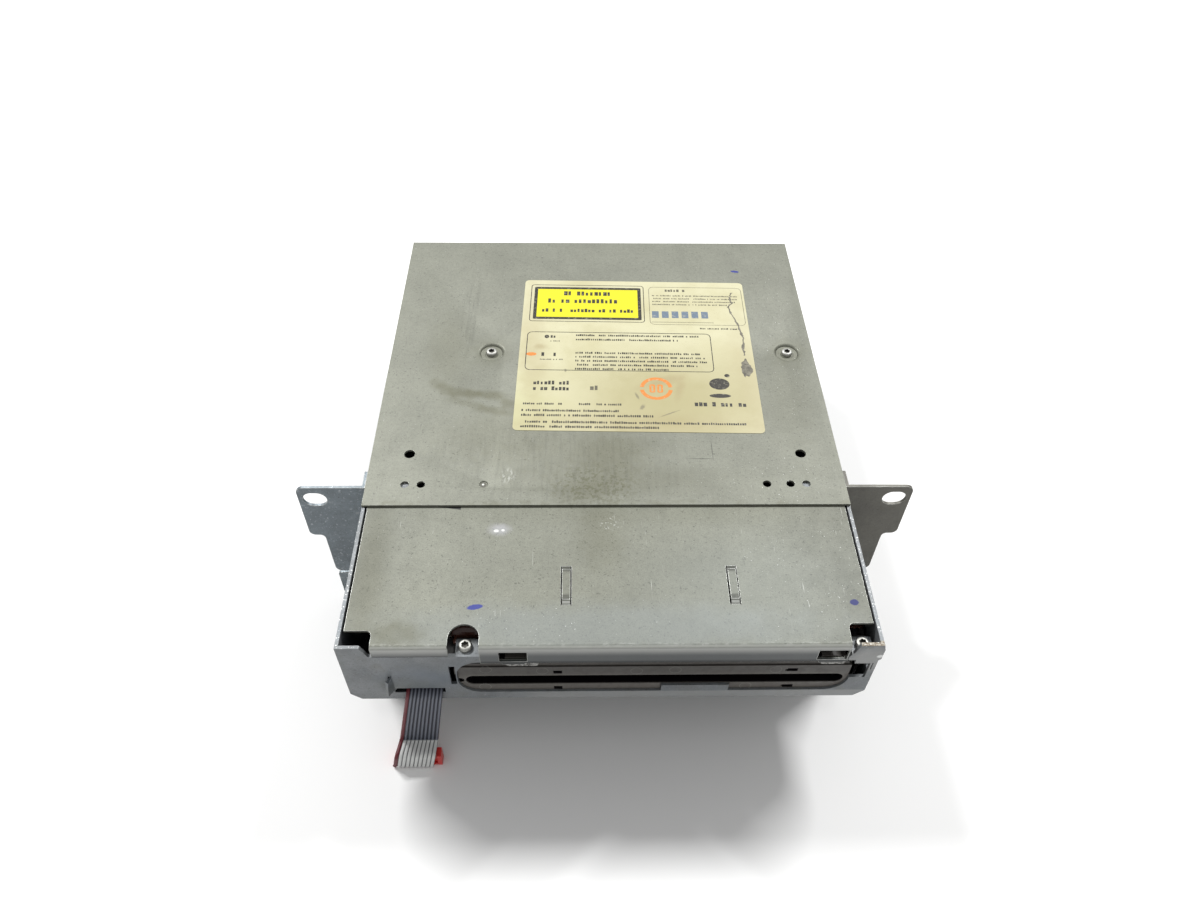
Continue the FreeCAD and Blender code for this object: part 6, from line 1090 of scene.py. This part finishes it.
def label_scar():
    """Ragged tear near the label's right side that ends in a rubbed-up patch."""
    random = np.random.default_rng(5)
    route = ((44.4, 40.5), (43.2, 36.5), (44.0, 33.0), (42.1, 30.3), (43.2, 24.7), (45.4, 17.9), (45.9, 13.5), (46.8, 9.2),
             (46.2, 2.0), (46.4, -3.1))
    work = bmesh.new()
    left, right = [], []
    for (u0, v0), (u1, v1) in zip(route, route[1:]):
        for k in range(6):
            t = k / 6
            u, v = u0 + (u1 - u0) * t, v0 + (v1 - v0) * t
            wide = 0.22 + 0.5 * random.random() ** 2
            sway = 0.45 * (random.random() - 0.5)
            left.append(work.verts.new((u - wide + sway, v, 0.0)))
            right.append(work.verts.new((u + wide + sway, v, 0.0)))
    for k in range(len(left) - 1):
        work.faces.new((left[k], left[k + 1], right[k + 1], right[k]))
    centre = work.verts.new((46.4, -10.6, 0.006))
    rim = []
    for k in range(30):
        a = math.tau * k / 30
        reach = 2.4 * (0.72 + 0.4 * random.random())
        rim.append(work.verts.new((46.4 + reach * math.cos(a), -10.6 + 2.5 * reach * math.sin(a), 0.0)))
    for k in range(30):
        work.faces.new((centre, rim[k], rim[(k + 1) % 30]))
    for face in work.faces:
        face.normal_update()
        if face.normal.z < 0:
            face.normal_flip()
    mesh = bpy.data.meshes.new("label_scar")
    work.to_mesh(mesh)
    work.free()
    mesh.transform(on_label(0.19))
    return shown(new_piece("label_scar", mesh, finish["torn_vinyl"]), "body", "label_paper")


label_sheet()
label_print()
label_scar()

# Moulded boss of the disc guide, seen through the arch


def guide_boss():
    profile = [(7.9, 60.2), (7.9, 63.2), (8.2, 65.2), (9.0, 66.5), (10.2, 67.2), (11.6, 67.3), (12.8, 66.8), (12.8, 62.3),
               (11.9, 62.3), (11.9, 60.2)]
    work = bmesh.new()
    ends = [[work.verts.new(Vector((x, FRONT_Y + y, z)) * MM) for y, z in profile] for x in (-53.3, -43.6)]
    for i in range(len(profile)):
        j = (i + 1) % len(profile)
        work.faces.new((ends[0][i], ends[0][j], ends[1][j], ends[1][i]))
    work.faces.new(list(reversed(ends[0])))
    work.faces.new(ends[1])
    add_block(work, -52.6, -51.4, FRONT_Y + 5.2, FRONT_Y + 8.3, 61.4, 65.6)
    bmesh.ops.recalc_face_normals(work, faces=work.faces)
    mesh = bpy.data.meshes.new("guide_boss")
    work.to_mesh(mesh)
    work.free()
    piece = softened(new_piece("guide_boss", mesh, finish["guide_plastic"]), 0.35, 3, 20.0)
    return shown(piece, "body", "guide_plastic")


guide_boss()

# Sheet metal


def shift_points(work, x, y, z, move):
    """Moves the corners that lie within three (low, high) ranges, all in millimetres."""
    for vert in work.verts:
        if all(low <= c / MM <= high for c, (low, high) in zip(vert.co, (x, y, z))):
            vert.co += Vector(move) * MM


def shape_front_plate(work):
    """The flap beside the cable slot hangs a little to the left; the small window is squared up."""
    shift_points(work, (-76.2, -74.7), (-115.7, -114.4), (43.0, 44.5), (-1.1, 0.0, -0.3))
    shift_points(work, (-77.4, -77.0), (-113.1, -111.6), (52.0, 53.0), (1.9, 0.0, 0.0))
    shift_points(work, (-77.4, -77.0), (-113.1, -111.6), (43.0, 44.6), (0.8, 0.0, 0.0))
    shift_points(work, (-52.6, -52.4), (-113.1, -111.6), (58.8, 59.2), (0.3, 0.0, 0.0))
    shift_points(work, (-53.1, -52.9), (-113.1, -111.6), (47.0, 47.4), (0.7, 0.0, 0.0))


def soften_dimples(work):
    """Dishes the rims of the two screw dimples and of the small dimple."""
    for x, y, radius, width in ((-47.6, 29.65, 4.6, 1.5), (79.0, 29.65, 4.6, 1.5), (-46.1, -44.25, 1.5, 0.5)):
        rim = [edge for edge in work.edges if all(
            abs(v.co.z - TOP_Z * MM) < 1e-5 and abs(math.hypot(v.co.x - x * MM, v.co.y - y * MM) - radius * MM) < 4e-5
            for v in edge.verts)]
        bmesh.ops.bevel(work, geom=rim, offset=width * MM, segments=4, profile=0.5, affect="EDGES")


rounded_copy("front_top_cover", 0.16, finish["cover_front"], angle=20.0, joined_above=69.4)
rounded_copy("rear_top_cover", 0.2, finish["cover_rear"], shape=soften_dimples)
rounded_copy("chassis_shell", 0.18, shape=shape_front_plate)
rounded_copy("left_bracket", 0.22)
rounded_copy("right_bracket", 0.22)
rounded_copy("rear_panel", 0.2, finish["panel_sheet"])
rounded_copy("base_tray", 0.2, finish["panel_sheet"])
rounded_copy("slot_bezel", 0.25, edge=finish["frame_plastic"], joined_above=80.0)
rounded_copy("heat_sink", 0.2)

# The drive shelf and cage get the near-black sheet as painted shade inside the box.
PAINTED_SHADE_INSIDE = ("drive_shelf", "drive_cage")
for node, piece in frame["nodes"].items():
    if not piece.hide_render:
        piece.data.materials.clear()
        piece.data.materials.append(finish["inner_sheet"] if node in PAINTED_SHADE_INSIDE else finish[SLOT_OF[node]])

# Floor, light and camera


def studio():
    floor = bpy.data.meshes.new("floor")
    reach = 6.0
    floor.from_pydata([(-reach, -reach, 0), (reach, -reach, 0), (reach, reach, 0), (-reach, reach, 0)], [], [(0, 1, 2, 3)])
    paper = Finish("white_paper", (0.88, 0.88, 0.875), 0.6)
    paper.shade(paper.window(paper.noise(300, 2), 0.3, 0.7), 0.985)
    new_piece("floor", floor, paper.done())
    world = bpy.data.worlds.new("studio")
    bpy.context.scene.world = world
    world.use_nodes = True
    world.node_tree.nodes["Background"].inputs["Color"].default_value = (1.0, 1.0, 1.0, 1.0)
    world.node_tree.nodes["Background"].inputs["Strength"].default_value = 0.50
    for name, place, size, height, power in (
            ("key_left", (-0.80, 0.77, 1.40), 0.6, 0.07, 26.0), ("key_right", (0.80, 0.77, 1.40), 0.6, 0.07, 22.5),
            ("fill", (0.6, -0.9, 1.4), 1.2, 1.2, 0.6)):
        light = bpy.data.lights.new(name, "AREA")
        light.shape = "RECTANGLE"
        light.size = size
        light.size_y = height
        light.energy = power
        lamp = bpy.data.objects.new(name, light)
        lamp.location = place
        lamp.rotation_euler = (-Vector(place)).to_track_quat("-Z", "Y").to_euler()
        bpy.context.scene.collection.objects.link(lamp)


def photo_camera():
    """Camera at the photograph's place and angle."""
    pitch, yaw, roll = (math.radians(a) for a in (47.735, 1.949, 1.357))
    look = Vector((math.sin(yaw) * math.cos(pitch), math.cos(yaw) * math.cos(pitch), -math.sin(pitch)))
    level = Vector((math.cos(yaw), -math.sin(yaw), 0))
    above = level.cross(look)
    side = math.cos(roll) * level + math.sin(roll) * above
    up = math.cos(roll) * above - math.sin(roll) * level
    data = bpy.data.cameras.new("photo_camera")
    data.lens = 27.98
    data.sensor_width = 36.0
    data.clip_start = 0.01
    camera = bpy.data.objects.new("photo_camera", data)
    camera.matrix_world = (
        Matrix.Translation(Vector((-0.01054, -0.26962, 0.33911))) @ Matrix((side, up, -look)).transposed().to_4x4())
    bpy.context.scene.collection.objects.link(camera)
    bpy.context.scene.camera = camera


studio()
photo_camera()
bpy.context.scene.view_settings.view_transform = "Standard"
